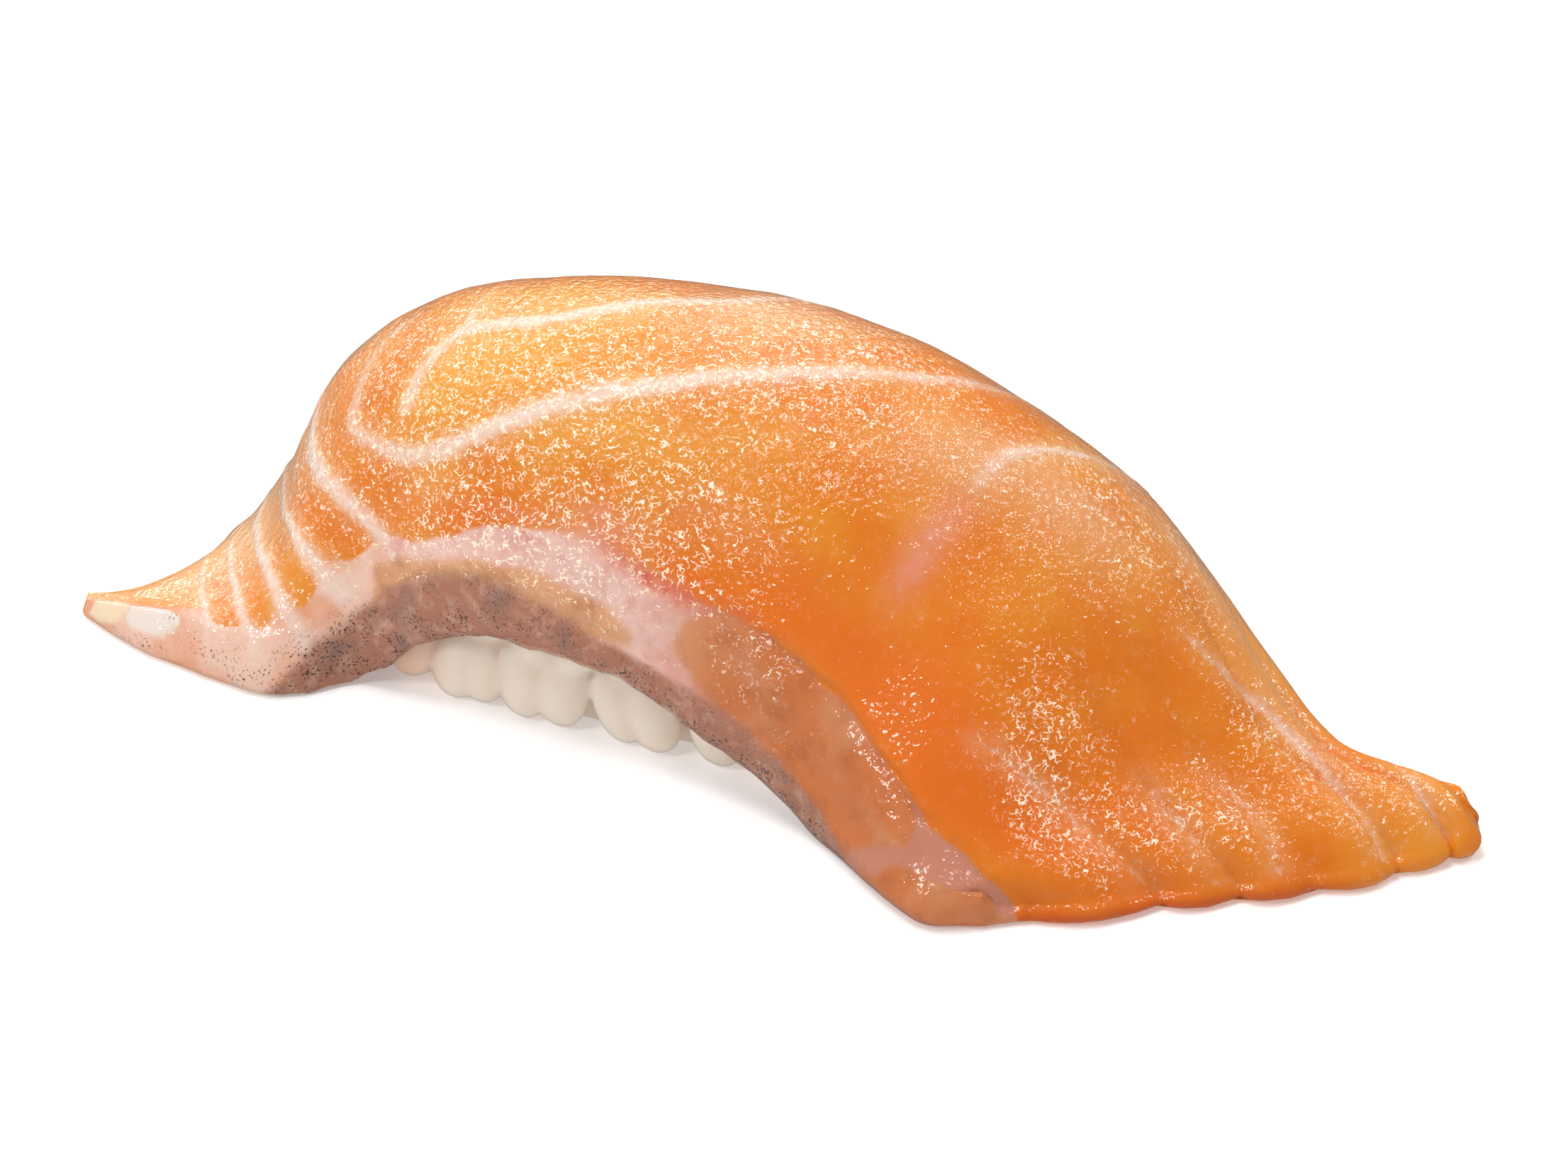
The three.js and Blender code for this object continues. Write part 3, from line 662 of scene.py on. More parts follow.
def build_slice():
    """Vertices, faces and tones of the slice: the upper face with its relief, the cut edge that
    leaves its border, bulges and drops, and the underside."""
    station, across, smooth, normal, upper = slice_grids()
    wobble = lattice_noise(smooth, *LINE_WOBBLE)
    cover, halo, crease = line_cover(smooth, station, wobble)
    grit_tone = np.clip(GRIT_LEAST + patches(station, across, GRIT_TONE), 0, 1)
    relief = slice_relief(station, across, smooth, halo, cover, crease, grit_tone)
    upper = upper + normal * relief[..., None]
    to_end = np.clip(1 - (STATIONS - station) * END_STATION_MM / END_ROLL_WIDTH, 0, 1)
    upper[..., 2] -= END_ROLL * to_end ** 2 * ease(across, 0.0, 0.06)

    rows, columns = border_places()
    edge, foot, share = cut_edge(upper, across, rows, columns)
    under = underside(station[::COARSE, 0], across[0, ::COARSE], foot)
    points = np.concatenate([upper.reshape(-1, 3), edge.reshape(-1, 3), under.reshape(-1, 3)])
    faces = slice_faces(rows, columns, under.shape[:2])

    down = share[..., 0] + np.zeros(len(rows))
    near = (columns == 0) & (rows < ALONG)
    at_end = (rows == ALONG) & (columns < ACROSS)
    edge_station = station[rows, columns] + END_SHARE * down * at_end
    edge_across = np.where(near, EDGE_SHARE * down, across[rows, columns])
    edge_cover, edge_halo, _ = line_cover(edge, edge_station, lattice_noise(edge, *LINE_WOBBLE))
    top_tones = slice_tones(station, across, smooth, cover, halo, grit_tone, 1.0)
    shown = (near | (at_end & (across[rows, columns] < 0.3))).astype(float)
    edge_grit = GRIT_ON_EDGE + 0 * down
    edge_tones = slice_tones(edge_station, edge_across, edge, edge_cover, edge_halo, edge_grit, shown)
    under_across = across[0, ::COARSE] + np.zeros(under.shape[:2])
    under_station = station[::COARSE, :1] + 0 * under_across
    rim_share = 1 - ease(under_across, 0.06, 0.16)
    nothing = 0 * under_across
    under_tones = slice_tones(under_station, np.where(rim_share > 0, EDGE_SHARE, under_across), under,
                              nothing, nothing, nothing, rim_share)
    tones = {name: np.concatenate([part[name].ravel() for part in (top_tones, edge_tones, under_tones)])
             for name in top_tones}
    return points, faces, tones


def underside(station, across, foot):
    """The underside on a coarser grid: the upper face moved in by the thickness, no lower than
    the plate, run out straight to the foot of the cut edge along both long edges."""
    station = station[:, None] + np.zeros(len(across))
    across = across[None, :] + np.zeros((len(station), 1))

    def inside(s, a):
        point = arch(s, a)
        normal = arch_normal(s, a)
        to_plate = point[..., 2] / np.maximum(normal[..., 2], STEEPEST)
        return point - normal * np.minimum(SLICE_THICKNESS, to_plate)[..., None]

    under = inside(station, across)
    long, short = under.shape[0] - 1, under.shape[1] - 1
    ring = foot[::COARSE]
    near = ring[:long]
    end = ring[long:long + short]
    far = ring[long + short:2 * long + short]
    tip = ring[2 * long + short:]
    under[:long, 0] = near
    under[long, :short] = end
    under[long:0:-1, short] = far
    under[0, short:0:-1] = tip
    anchor_near = inside(station[1:-1, :1], EDGE_WEDGE + 0 * station[1:-1, :1])[:, 0]
    anchor_far = inside(station[1:-1, :1], 1 - EDGE_WEDGE + 0 * station[1:-1, :1])[:, 0]
    for j in range(1, short // 2):
        t = across[0, j] / EDGE_WEDGE
        if t < 1:
            under[1:-1, j] = under[1:-1, 0] + t * (anchor_near - under[1:-1, 0])
            under[1:-1, short - j] = under[1:-1, short] + t * (anchor_far - under[1:-1, short])
    flat = under[:, :1] + across[..., None] * (under[:, short:] - under[:, :1])
    flat[..., 2] = EDGE_LOWEST
    body = ease(station, 0.3, 1.3)[..., None]
    body[:, 0] = body[:, short] = body[0] = body[long] = 1
    return flat + body * (under - flat)


def slice_faces(rows, columns, coarse_shape):
    """Four-sided faces of the upper face, edge and underside. Along the foot of the edge, one
    face joins each coarse step of the underside to the finer steps above it."""
    index = np.arange((ALONG + 1) * (ACROSS + 1)).reshape(ALONG + 1, ACROSS + 1)
    top = np.stack([index[:-1, :-1], index[1:, :-1], index[1:, 1:], index[:-1, 1:]], axis=-1)
    ring_length = len(rows)
    first_edge = index.size
    ring = index[rows, columns][None, :]
    bands = first_edge + np.arange(EDGE_ROWS * ring_length).reshape(EDGE_ROWS, ring_length)
    bands = np.concatenate([ring, bands])
    following = np.roll(bands, -1, axis=1)
    side = np.stack([bands[:-1], bands[1:], following[1:], following[:-1]], axis=-1)
    first_under = first_edge + EDGE_ROWS * ring_length
    lower = first_under + np.arange(coarse_shape[0] * coarse_shape[1]).reshape(coarse_shape)
    base = np.stack([lower[:-1, :-1], lower[:-1, 1:], lower[1:, 1:], lower[1:, :-1]], axis=-1)
    faces = [quad.tolist() for quad in (top.reshape(-1, 4), side.reshape(-1, 4), base.reshape(-1, 4))]
    faces = faces[0] + faces[1] + faces[2]
    last = bands[-1]
    coarse_ring = lower[rows[::COARSE] // COARSE, columns[::COARSE] // COARSE]
    for k in range(len(coarse_ring)):
        fine = [int(last[(k * COARSE + m) % ring_length]) for m in range(COARSE + 1)]
        here, there = int(coarse_ring[k]), int(coarse_ring[(k + 1) % len(coarse_ring)])
        half = COARSE // 2
        for m in range(COARSE):
            corner = here if m < half else there
            faces.append([fine[m], corner, fine[m + 1]])
        faces.append([here, there, fine[half]])
    return faces


def slice_tones(station, across, points, cover, halo, grit_tone, near):
    """How strongly each point shows each tone, from 0 to 1, for the material to blend. On the cut
    edge and underside, near is 1 where the near side's colours show and 0 elsewhere."""
    ripple = lattice_noise(points, *RIPPLE)
    fine_ripple = lattice_noise(points, *FINE_RIPPLE)
    stray = 0.15 * ripple + 0.12 * fine_ripple
    place = across + (0.004 * ripple + 0.003 * fine_ripple)
    border = flesh_border(station)
    body = ease(station, *TAIL_TO_BODY)
    margin = FLESH_MARGIN + FLESH_MARGIN_MORE * between(station, *FADED_STATIONS)
    below_flesh = (1 - ease(place - border, -margin, margin)) * near
    lobes = [outline_share(station, across, outline, stray, LOBE_MARGIN)
             for outline in (LOBE_ONE, LOBE_TWO, LOBE_THREE)]
    tan = np.clip(sum(lobes), 0, 1) * below_flesh
    skin = outline_share(station, across, SKIN_BAND, stray, SKIN_MARGIN) * near
    pink = below_flesh * body
    tail = below_flesh * (1 - body)
    # Painted shade: the foot of the cut end is darkened where it turns down away from the light.
    end_foot_shade_painted = END_FOOT_SHADE_PAINTED * ease(station, 9.97, 10.2) * (1 - ease(across, 0.40, 0.62))
    specks = tone_share(station, across, SPECK_TONE) + skin * (0.5 + 0.5 * ease(-across, 0.045, 0.08))
    return {
        "fat": cover * (1 - 0.8 * tan),
        "halo": halo * (1 - below_flesh),
        "deep_and_end_shade": tone_share(station, across, DEEP_ORANGE_AND_END_SHADE),
        "gold": tone_share(station, across, GOLD_TONE),
        "pale_and_sheen": tone_share(station, across, PALE_AND_SHEEN_TONE),
        "rosy": tone_share(station, across, ROSY_TONE),
        "end_foot_shade_painted": end_foot_shade_painted * (1 - tan - below_flesh),
        "tan": tan,
        "shade": ease(station, 6.5, 7.4),
        "pink": pink,
        "tail": tail,
        "nub": outline_share(station, across, WHITE_NUB, stray, TIP_MARGIN) * near,
        "oval": outline_share(station, across, TIP_OVAL, stray, TIP_MARGIN) * near,
        "skin": skin,
        "streak": tone_share(station, across, STREAK_TONE),
        "specks": np.clip(specks, 0, 1) * near,
        "grit": grit_tone + 0 * across,
    }


def mesh_object(name, points_mm, faces, material, tones=None):
    """A smooth-shaded mesh object at the origin, its points given in the slice's millimetres."""
    mesh = bpy.data.meshes.new(name)
    mesh.from_pydata(((points_mm - PLAN_MIDDLE) * MM).tolist(), [], faces)
    mesh.shade_smooth()
    for tone, values in (tones or {}).items():
        attribute = mesh.attributes.new(tone, "FLOAT", "POINT")
        attribute.data.foreach_set("value", values.astype(np.float32))
    mesh.materials.append(material)
    piece = bpy.data.objects.new(name, mesh)
    bpy.context.scene.collection.objects.link(piece)
    return piece


# ---- Rice ------------------------------------------------------------------------------------
def block_points(turn, height):
    """The block's outline at a height: a squarish oval that draws in towards the top."""
    power = 2 / BLOCK_SQUARENESS
    half = np.array(BLOCK_HALF)
    spread = (1 - (height / half[2]) ** BLOCK_DRAW_IN) ** (1 / BLOCK_DRAW_IN)
    c, s = np.cos(turn), np.sin(turn)
    return np.stack([
        BLOCK_MIDDLE[0] + half[0] * spread * np.sign(c) * np.abs(c) ** power,
        BLOCK_MIDDLE[1] + half[1] * spread * np.sign(s) * np.abs(s) ** power,
        height + 0 * turn,
    ], axis=-1)


def block_normals(turn, height):
    """Outward normals of the block's side."""
    step = 0.02
    around = block_points(turn + step, height) - block_points(turn - step, height)
    up = block_points(turn, height + step) - block_points(turn, height - step)
    return unit(np.cross(around, up))


def even_turns(count, height):
    """Turns that share the outline's length at a height evenly."""
    turn = np.linspace(0, 2 * np.pi, 721)
    outline = block_points(turn, np.full_like(turn, height))
    length = np.concatenate([[0], np.cumsum(np.linalg.norm(np.diff(outline, axis=0), axis=1))])
    return np.interp(np.arange(count) / count * length[-1], length, turn)


def ringed_faces(rings, sides):
    """Faces of rings of points, in order from one closing point to another."""
    faces = []
    last = 1 + (rings - 1) * sides
    for k in range(sides):
        k2 = (k + 1) % sides
        faces.append([0, 1 + k, 1 + k2])
        for r in range(rings - 1):
            a, b = 1 + r * sides, 1 + (r + 1) * sides
            faces.append([a + k, b + k, b + k2, a + k2])
        faces.append([last + k, last + sides, last + k2])
    return faces


def closed_ball(rings, sides):
    """Directions and faces of a ball with closed poles: rings of points between two tips."""
    polar = np.pi * np.arange(1, rings) / rings
    turn = 2 * np.pi * np.arange(sides) / sides
    body = np.stack([
        np.sin(polar)[:, None] * np.cos(turn),
        np.sin(polar)[:, None] * np.sin(turn),
        np.cos(polar)[:, None] + 0 * turn,
    ], axis=-1).reshape(-1, 3)
    return np.concatenate([[[0, 0, 1]], body, [[0, 0, -1]]]), ringed_faces(rings - 1, sides)


def grain_shape(directions):
    """A cooked grain of unit size: an oval drawn out along Z with blunt ends, a flatter belly and
    a slight bend."""
    x, y, z = directions.T
    blunt = np.maximum(np.hypot(x, y), 1e-6) ** -0.22
    bend = 0.10 * (z ** 2 - 0.4)
    return 0.5 * np.column_stack([x * blunt + bend, y * blunt * (1 - 0.1 * (y < 0)), z])


def grain_places():
    """Where the grains lie on the block: rows round its side, each grain leaning its own way."""
    draw = np.random.default_rng(GRAIN_SEED)
    centres, frames, sizes = [], [], []
    for height, spacing, lean in GRAIN_ROWS:
        outline = block_points(np.linspace(0, 2 * np.pi, 361), np.full(361, height))
        count = int(np.linalg.norm(np.diff(outline, axis=0), axis=1).sum() / spacing)
        turn = even_turns(count, height) + GRAIN_TURN * draw.uniform(-1, 1, count)
        level = height + GRAIN_LEVEL * draw.uniform(-1, 1, count)
        tilt = np.radians(lean * draw.uniform(-1, 1, count))
        normal = block_normals(turn, level)
        sideways = unit(np.stack([-normal[:, 1], normal[:, 0], 0 * turn], axis=-1))
        upward = np.cross(normal, sideways)
        axis = sideways * np.sin(tilt)[:, None] + upward * np.cos(tilt)[:, None]
        other = np.cross(axis, normal)
        size = np.array([GRAIN_WIDTH, GRAIN_THICKNESS, GRAIN_LENGTH])
        size = size * draw.uniform(*GRAIN_SIZES, (count, 3))
        centre = block_points(turn, level) + normal * draw.uniform(*GRAIN_OUT, count)[:, None]
        centres.append(centre)
        frames.append(np.stack([other, normal, axis], axis=1))
        sizes.append(size)
    for x, y, z, lean in CORNER_GRAINS:
        tilt = math.radians(lean)
        axis = np.array([math.sin(tilt), 0.0, math.cos(tilt)])
        normal = np.array([0.0, -1.0, 0.0])
        centres.append([[x, y, z]])
        frames.append([np.stack([np.cross(axis, normal), normal, axis])])
        sizes.append([[GRAIN_WIDTH, GRAIN_THICKNESS, GRAIN_LENGTH]])
    return np.concatenate(centres), np.concatenate(frames), np.concatenate(sizes)


def room_above(points, slice_tree):
    """The height of the slice's underside over each point, or a great height where there is none."""
    height = np.full(len(points), 1000.0)
    for n, (x, y, _) in enumerate(points):
        hit = slice_tree.ray_cast((x, y, -1.0), (0, 0, 1))[0]
        if hit is not None:
            height[n] = hit[2]
    return height


def lowered(points, slice_tree, room):
    """Points brought down until they lie at least that far, in mm, below the slice."""
    points = points.copy()
    points[:, 2] = np.maximum(0, np.minimum(points[:, 2], room_above(points, slice_tree) - room))
    return points


def rice_core(slice_tree):
    """The points of the block's core, a little inside its outline and below the slice: rings that
    rise by a quarter sine, between two closing points."""
    height = BLOCK_HALF[2] * np.sin(np.pi / 2 * np.arange(CORE_RINGS) / CORE_RINGS)
    turn = 2 * np.pi * np.arange(CORE_SIDES) / CORE_SIDES
    side = block_points(turn[None, :] + 0 * height[:, None], height[:, None] + 0 * turn[None, :])
    core = np.concatenate([
        [[*BLOCK_MIDDLE, 0.0]], side.reshape(-1, 3), [[*BLOCK_MIDDLE, BLOCK_HALF[2]]]])
    shrink = 1 - CORE_INSET / np.array(BLOCK_HALF[:2])
    core[:, :2] = BLOCK_MIDDLE + (core[:, :2] - BLOCK_MIDDLE) * shrink
    return lowered(core, slice_tree, CORE_CLEAR)


def build_rice(slice_tree):
    """The core and the grains as one set of closed surfaces, before they are fused. Grains that
    would stand in the slice are left out, and the rest are pressed flat where they meet it."""
    ball, ball_faces = closed_ball(GRAIN_RINGS, GRAIN_SIDES)
    shape = grain_shape(ball)
    centres, frames, sizes = grain_places()
    kept = centres[:, 2] < room_above(centres, slice_tree) - GRAIN_ROOM
    centres, frames, sizes = centres[kept], frames[kept], sizes[kept]
    grains = np.einsum("gpk,gkc->gpc", shape[None] * sizes[:, None, :], frames) + centres[:, None, :]
    grains[..., 2] += np.maximum(0, GRAIN_LOWEST - grains[..., 2].min(axis=1))[:, None]
    grains = lowered(grains.reshape(-1, 3), slice_tree, GRAIN_CLEAR).reshape(grains.shape)

    core = rice_core(slice_tree)
    # The core's rings run upwards, so its faces turn the other way.
    faces = [face[:1] + face[:0:-1] for face in ringed_faces(CORE_RINGS, CORE_SIDES)]
    points = [core] + list(grains)
    for n in range(len(grains)):
        first = len(core) + n * len(ball)
        faces += [[first + corner for corner in face] for face in ball_faces]
    return np.concatenate(points), faces


def fuse(piece, voxel_mm, smoothing):
    """Runs the piece's closed surfaces into one skin, as wet grains run together, and softens it."""
    remesh = piece.modifiers.new("fuse", "REMESH")
    remesh.mode = "VOXEL"
    remesh.voxel_size = voxel_mm * MM
    remesh.use_smooth_shade = True
    soften = piece.modifiers.new("soften", "SMOOTH")
    soften.factor = 0.5
    soften.iterations = smoothing
    depsgraph = bpy.context.evaluated_depsgraph_get()
    fused = bpy.data.meshes.new_from_object(piece.evaluated_get(depsgraph))
    piece.modifiers.clear()
    piece.data = fused


# ---- Materials -------------------------------------------------------------------------------
def linear(hex_colour):
    """An sRGB hex colour as linear red, green, blue and alpha."""
    parts = [int(hex_colour[i:i + 2], 16) / 255 for i in (1, 3, 5)]
    return (*[p / 12.92 if p <= 0.04045 else ((p + 0.055) / 1.055) ** 2.4 for p in parts], 1.0)


def add(tree, kind, settings=None, **links):
    """Adds a node. Settings are its properties or its sockets' values; links join its sockets,
    named with _ for each space or numbered as in i0, to other nodes' outputs."""
    node = tree.nodes.new(kind)
    for key, value in (settings or {}).items():
        if key in node.bl_rna.properties:
            setattr(node, key, value)
    for key, value in (settings or {}).items():
        if key not in node.bl_rna.properties:
            node.inputs[key].default_value = value
    for key, source in links.items():
        numbered = key[0] == "i" and key[1:].isdigit()
        socket = node.inputs[int(key[1:]) if numbered else key.replace("_", " ")]
        tree.links.new(source, socket)
    return node


def mixed(tree, under, over, amount):
    """Lays one colour over another by an amount. A colour is a hex value or a node's output."""
    node = tree.nodes.new("ShaderNodeMix")
    node.data_type = "RGBA"
    tree.links.new(amount, node.inputs[0])
    for socket, colour in ((node.inputs[6], under), (node.inputs[7], over)):
        if isinstance(colour, str):
            socket.default_value = linear(colour)
        else:
            tree.links.new(colour, socket)
    return node.outputs[2]


def new_material(name):
    """An empty material, all its nodes cleared, ready for a Principled BSDF and an output."""
    material = bpy.data.materials.new(name)
    material.use_nodes = True
    material.node_tree.nodes.clear()
    return material, material.node_tree


# The wet film's ripples, its painted glints (pale strokes painted into the colour, which also glow a
# little), and the skin's dark specks: pattern sizes in mm.
RIPPLE_MM = 0.48
RIPPLE_HEIGHT = 0.7
PAINTED_GLINT_MM = 0.42
PAINTED_GLINT_BREAK_MM = 0.5
PAINTED_GLINT_CROWD_MM = 2.2
PAINTED_GLINT_GLOW = 0.25
FLECK_MM = 0.2
FLECK_CROWD_MM = 1.6
FLESH_GRAIN_MM = 0.5
FLESH_GRAIN_HEIGHT = 0.1


def salmon_material():
    """Raw salmon flesh, freshly cut and wet: orange muscle with pale sheets of fat, a pink strip,
    brown dark muscle and a grey-brown skin side. The wet film gives small sharp glints, partly real
    reflections off its ripples and partly painted glints: pale strokes painted into the colour that
    also glow a little. A painted sheen lies along the top of the right shoulder, painted shade darkens
    the cut end, and light spreads a little way into the flesh."""
    material, tree = new_material("raw_salmon_wet")
    place = add(tree, "ShaderNodeTexCoord").outputs["Object"]

    def tone(name):
        return add(tree, "ShaderNodeAttribute", {"attribute_name": name}).outputs["Fac"]

    def noise(size_mm, detail=2.0, roughness=0.5):
        settings = {"Scale": 1 / (size_mm * MM), "Detail": detail, "Roughness": roughness}
        return add(tree, "ShaderNodeTexNoise", settings, Vector=place).outputs["Fac"]

    def remap(value, low, high, to_low=0.0, to_high=1.0):
        return add(tree, "ShaderNodeMapRange", {
            "From Min": low, "From Max": high, "To Min": to_low, "To Max": to_high}, Value=value).outputs[0]

    def maths(operation, a, b):
        node = add(tree, "ShaderNodeMath", {"operation": operation}, i0=a)
        if isinstance(b, float):
            node.inputs[1].default_value = b
        else:
            tree.links.new(b, node.inputs[1])
        return node.outputs[0]

    def paint(under, over, amount):
        return mixed(tree, under, over, amount)

    cloud = noise(5.0, 3.0)
    mottle = noise(0.9, 4.0, 0.65)
    blotch = noise(1.8, 3.0, 0.6)
    colour = paint("#ea7f12", "#ee9224", remap(cloud, 0.4, 0.65))
    colour = paint(colour, "#f2a436", tone("gold"))
    # Deep orange flesh, with painted shade at the top of the cut end.
    colour = paint(colour, "#ee7516", tone("deep_and_end_shade"))
    # Pale peach flesh, and a painted sheen along the top of the middle and the right shoulder.
    colour = paint(colour, "#f3b47c", tone("pale_and_sheen"))
    colour = paint(colour, "#ee9a80", maths("MULTIPLY", tone("rosy"), remap(mottle, 0.25, 0.65, 0.3, 1.0)))
    colour = paint(colour, "#f5c78e", remap(mottle, 0.55, 0.75, 0, 0.12))
    colour = paint(colour, "#f8d3a8", maths("MULTIPLY", tone("halo"), remap(mottle, 0.3, 0.6, 0.1, 0.6)))
    strip = paint("#f4c8bb", "#e2a094", remap(blotch, 0.48, 0.66, 0, 0.6))
    strip = paint(strip, "#d28a70", tone("shade"))
    colour = paint(colour, strip, tone("pink"))
    low_tail = paint("#f7cdb8", "#eeaa84", remap(cloud, 0.44, 0.64))
    colour = paint(colour, low_tail, tone("tail"))
    lobe = paint("#e8ac80", "#d67c45", tone("shade"))
    lobe = paint(lobe, "#dda077", remap(noise(4.0, 2.0), 0.45, 0.65, 0, 0.45))
    lobe = paint(lobe, "#b2602f", remap(blotch, 0.48, 0.7, 0, 0.45))
    colour = paint(colour, lobe, tone("tan"))
    colour = paint(colour, "#d9584f", maths("MULTIPLY", tone("streak"), remap(mottle, 0.3, 0.6, 0.1, 0.8)))
    rag = maths("ADD", tone("fat"), remap(noise(0.45, 3.0, 0.6), 0.3, 0.7, -0.14, 0.14))
    colour = paint(colour, "#f9dccd", remap(rag, 0.1, 1.0))
    colour = paint(colour, "#fbe0bf", tone("oval"))
    colour = paint(colour, "#f5e6da", tone("nub"))
    hide = paint("#b57b63", "#cd9f89", remap(noise(1.1, 4.0, 0.6), 0.48, 0.72))
    hide = paint(hide, "#937468", remap(noise(2.6, 3.0, 0.6), 0.52, 0.7, 0, 0.7))
    colour = paint(colour, hide, tone("skin"))
    # Painted shade: darker orange at the foot of the cut end, where it turns down away from the light.
    colour = paint(colour, "#cc5414", tone("end_foot_shade_painted"))
    fleck = remap(noise(FLECK_MM, 1.0, 0.5), 0.58, 0.64)
    crowd = remap(noise(FLECK_CROWD_MM, 2.0), 0.36, 0.56)
    fleck = maths("MULTIPLY", maths("MULTIPLY", fleck, crowd), tone("specks"))
    colour = paint(colour, "#453733", fleck)

    # Painted glints: short pale strokes painted into the colour and given a little glow, standing in for
    # light caught by beads and ripples of the wet film.
    painted_glint = maths("ABSOLUTE", maths("SUBTRACT", noise(PAINTED_GLINT_MM, 1.0), 0.5), 0.0)
    painted_glint = remap(maths("SUBTRACT", painted_glint, maths("MULTIPLY", tone("grit"), 0.02)), 0.0, 0.03, 1, 0)
    broken = maths("ADD", noise(PAINTED_GLINT_BREAK_MM, 1.0), maths("MULTIPLY", tone("grit"), 0.10))
    broken = remap(broken, 0.56, 0.64)
    crowded = maths("ADD", noise(PAINTED_GLINT_CROWD_MM, 2.0), maths("MULTIPLY", tone("grit"), 0.25))
    crowded = remap(crowded, 0.5, 0.68)
    strength = maths("MULTIPLY", crowded, remap(tone("grit"), 0.1, 0.45, 0.12, 0.85))
    painted_glint = maths("MULTIPLY", maths("MULTIPLY", painted_glint, broken), strength)
    colour = paint(colour, "#fff2de", painted_glint)

    body_bump = add(tree, "ShaderNodeBump", {"Strength": 0.5, "Distance": FLESH_GRAIN_HEIGHT * MM},
                    Height=noise(FLESH_GRAIN_MM, 2.0))
    film = maths("MULTIPLY", noise(RIPPLE_MM, 1.0, 0.5), remap(tone("grit"), 0, 1, 0.04, 1.0))
    film_bump = add(tree, "ShaderNodeBump", {"Strength": 1.0, "Distance": RIPPLE_HEIGHT * MM}, Height=film)
    # The painted glints also glow a little through the emission.
    shader = add(tree, "ShaderNodeBsdfPrincipled", {
        "Roughness": 0.42, "IOR": 1.38, "Subsurface Weight": 0.25, "Subsurface Radius": (1.0, 0.35, 0.15),
        "Subsurface Scale": 0.0015, "Specular IOR Level": 0.25,
        "Coat Weight": 1.0, "Coat Roughness": 0.06, "Coat IOR": 1.52,
        "Emission Color": linear("#ffe9c8"),
    }, Base_Color=colour, Normal=body_bump.outputs[0], Coat_Normal=film_bump.outputs[0],
        Emission_Strength=maths("MULTIPLY", painted_glint, PAINTED_GLINT_GLOW))
    add(tree, "ShaderNodeOutputMaterial", None, Surface=shader.outputs[0])
    return material


def rice_material():
    """Cooked short-grain rice, moist and slightly see-through: white with cream patches, and peach
    towards its left end, where the slice's tail lies against it."""
    material, tree = new_material("cooked_rice_moist")
    place = add(tree, "ShaderNodeTexCoord").outputs["Object"]
    cloud = add(tree, "ShaderNodeTexNoise", {"Scale": 1 / (2.4 * MM), "Detail": 3.0}, Vector=place)
    x = add(tree, "ShaderNodeSeparateXYZ", None, Vector=place).outputs["X"]
    left = add(tree, "ShaderNodeMapRange", {"From Min": TINGE[0], "From Max": TINGE[1]}, Value=x).outputs[0]
    colour = mixed(tree, "#feece2", "#f4dec8", cloud.outputs["Fac"])
    colour = mixed(tree, colour, "#f3cdb4", left)
    fine = add(tree, "ShaderNodeTexNoise", {"Scale": 1 / (0.7 * MM), "Detail": 2.0}, Vector=place)
    bump = add(tree, "ShaderNodeBump", {"Strength": 0.3, "Distance": 0.0001}, Height=fine.outputs["Fac"])
    shader = add(tree, "ShaderNodeBsdfPrincipled", {
        "IOR": 1.4, "Roughness": 0.45, "Subsurface Weight": 0.8, "Subsurface Radius": (1.0, 0.85, 0.7),
        "Subsurface Scale": 0.002, "Coat Weight": 0.8, "Coat Roughness": 0.08,
    }, Base_Color=colour, Normal=bump.outputs[0])
    add(tree, "ShaderNodeOutputMaterial", None, Surface=shader.outputs[0])
    return material


def floor_material():
    """A light table: matt white acrylic, lit softly from below."""
    material, tree = new_material("light_table_acrylic")
    shader = add(tree, "ShaderNodeBsdfPrincipled", {
        "Base Color": linear("#f4f4f4"), "Roughness": 0.7, "Specular IOR Level": 0.1,
        "Emission Color": (1, 1, 1, 1), "Emission Strength": FLOOR_GLOW})
    add(tree, "ShaderNodeOutputMaterial", None, Surface=shader.outputs[0])
    return material


# ---- Studio ----------------------------------------------------------------------------------
def direction(azimuth, elevation):
    """The way towards something at an azimuth from -Y and an elevation, both in radians."""
    return Vector((math.sin(azimuth) * math.cos(elevation),
                   -math.cos(azimuth) * math.cos(elevation), math.sin(elevation)))


def softbox(name, azimuth, elevation, distance, size, power):
    """A square area light that faces the food. Angles in degrees, lengths in metres, watts."""
    light = bpy.data.lights.new(name, "AREA")
    light.shape = "SQUARE"
    light.size = size
    light.energy = power
    holder = bpy.data.objects.new(name, light)
    towards = direction(math.radians(azimuth), math.radians(elevation))
    holder.location = towards * distance
    holder.rotation_euler = towards.to_track_quat("Z", "Y").to_euler()
    bpy.context.scene.collection.objects.link(holder)


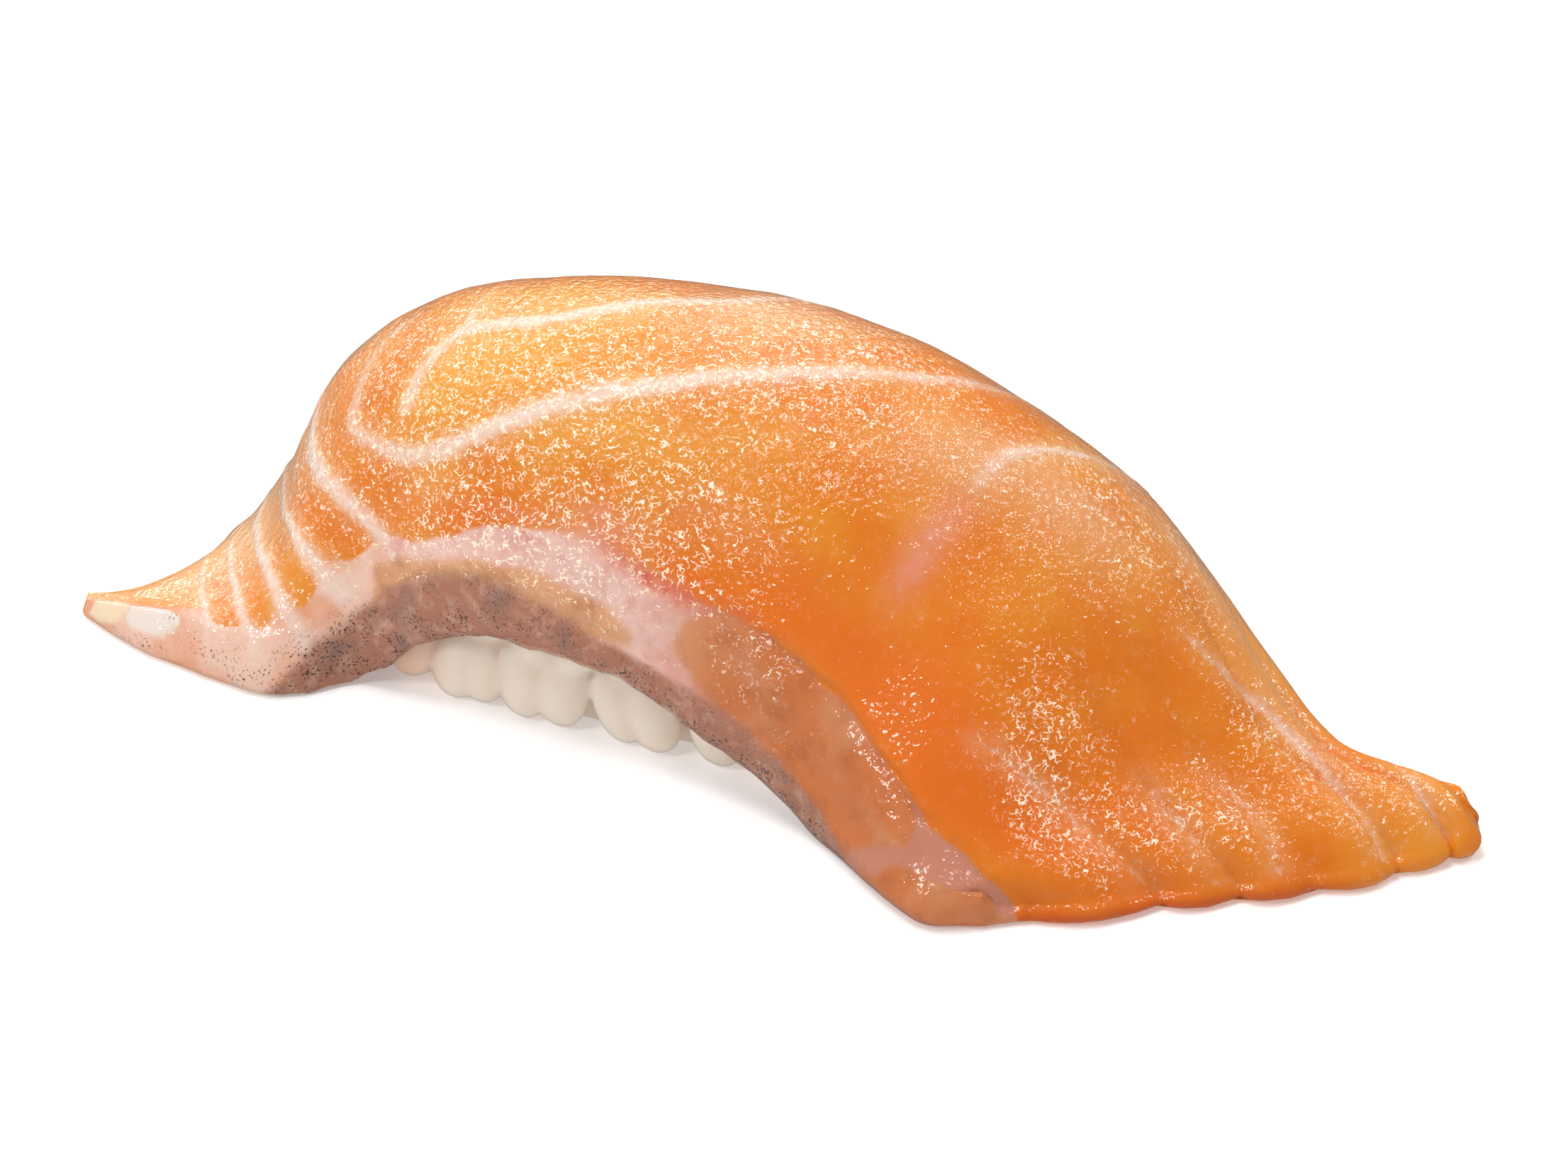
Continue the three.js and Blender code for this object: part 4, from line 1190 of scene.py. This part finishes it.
def studio():
    """A white floor, a dim even sky and soft lights."""
    half = FLOOR_HALF
    corners = [(-half, -half, 0), (half, -half, 0), (half, half, 0), (-half, half, 0)]
    mesh = bpy.data.meshes.new("floor")
    mesh.from_pydata(corners, [], [(0, 1, 2, 3)])
    mesh.materials.append(floor_material())
    floor = bpy.data.objects.new("floor", mesh)
    bpy.context.scene.collection.objects.link(floor)
    floor.visible_glossy = False
    world = bpy.data.worlds.new("studio")
    world.use_nodes = True
    world.node_tree.nodes["Background"].inputs["Color"].default_value = (1, 1, 1, 1)
    world.node_tree.nodes["Background"].inputs["Strength"].default_value = SKY_STRENGTH
    bpy.context.scene.world = world
    for name, placing in SOFT_BOXES.items():
        softbox(name, *placing)


def camera():
    """Looks at the food from its near right, a little down, with a long lens."""
    back = direction(CAMERA_AZIMUTH, CAMERA_ELEVATION)
    right = Vector((math.cos(CAMERA_AZIMUTH), math.sin(CAMERA_AZIMUTH), 0))
    up = back.cross(right)
    aim = Vector(AIM_FROM) + right * AIM_RIGHT + up * AIM_UP - Vector(PLAN_MIDDLE)
    data = bpy.data.cameras.new("camera")
    data.sensor_width = SENSOR_WIDTH
    data.lens = SENSOR_WIDTH * CAMERA_DISTANCE / VIEW_WIDTH
    data.clip_start = 0.01
    holder = bpy.data.objects.new("camera", data)
    holder.location = (aim + back * CAMERA_DISTANCE) * MM
    holder.rotation_euler = back.to_track_quat("Z", "Y").to_euler()
    bpy.context.scene.collection.objects.link(holder)
    bpy.context.scene.camera = holder


# ---- The object ------------------------------------------------------------------------------
points, faces, tones = build_slice()
salmon = mesh_object("salmon_slice_fine", points, faces, salmon_material(), tones)
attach(salmon, "root")
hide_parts("salmon_slice")

points, faces = build_rice(BVHTree.FromPolygons(points.tolist(), faces))
rice = mesh_object("rice_grains", points, faces, rice_material())
fuse(rice, FUSE_VOXEL, FUSE_SMOOTHING)
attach(rice, "root")
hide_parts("rice")

studio()
camera()
bpy.context.scene.view_settings.view_transform = "Standard"
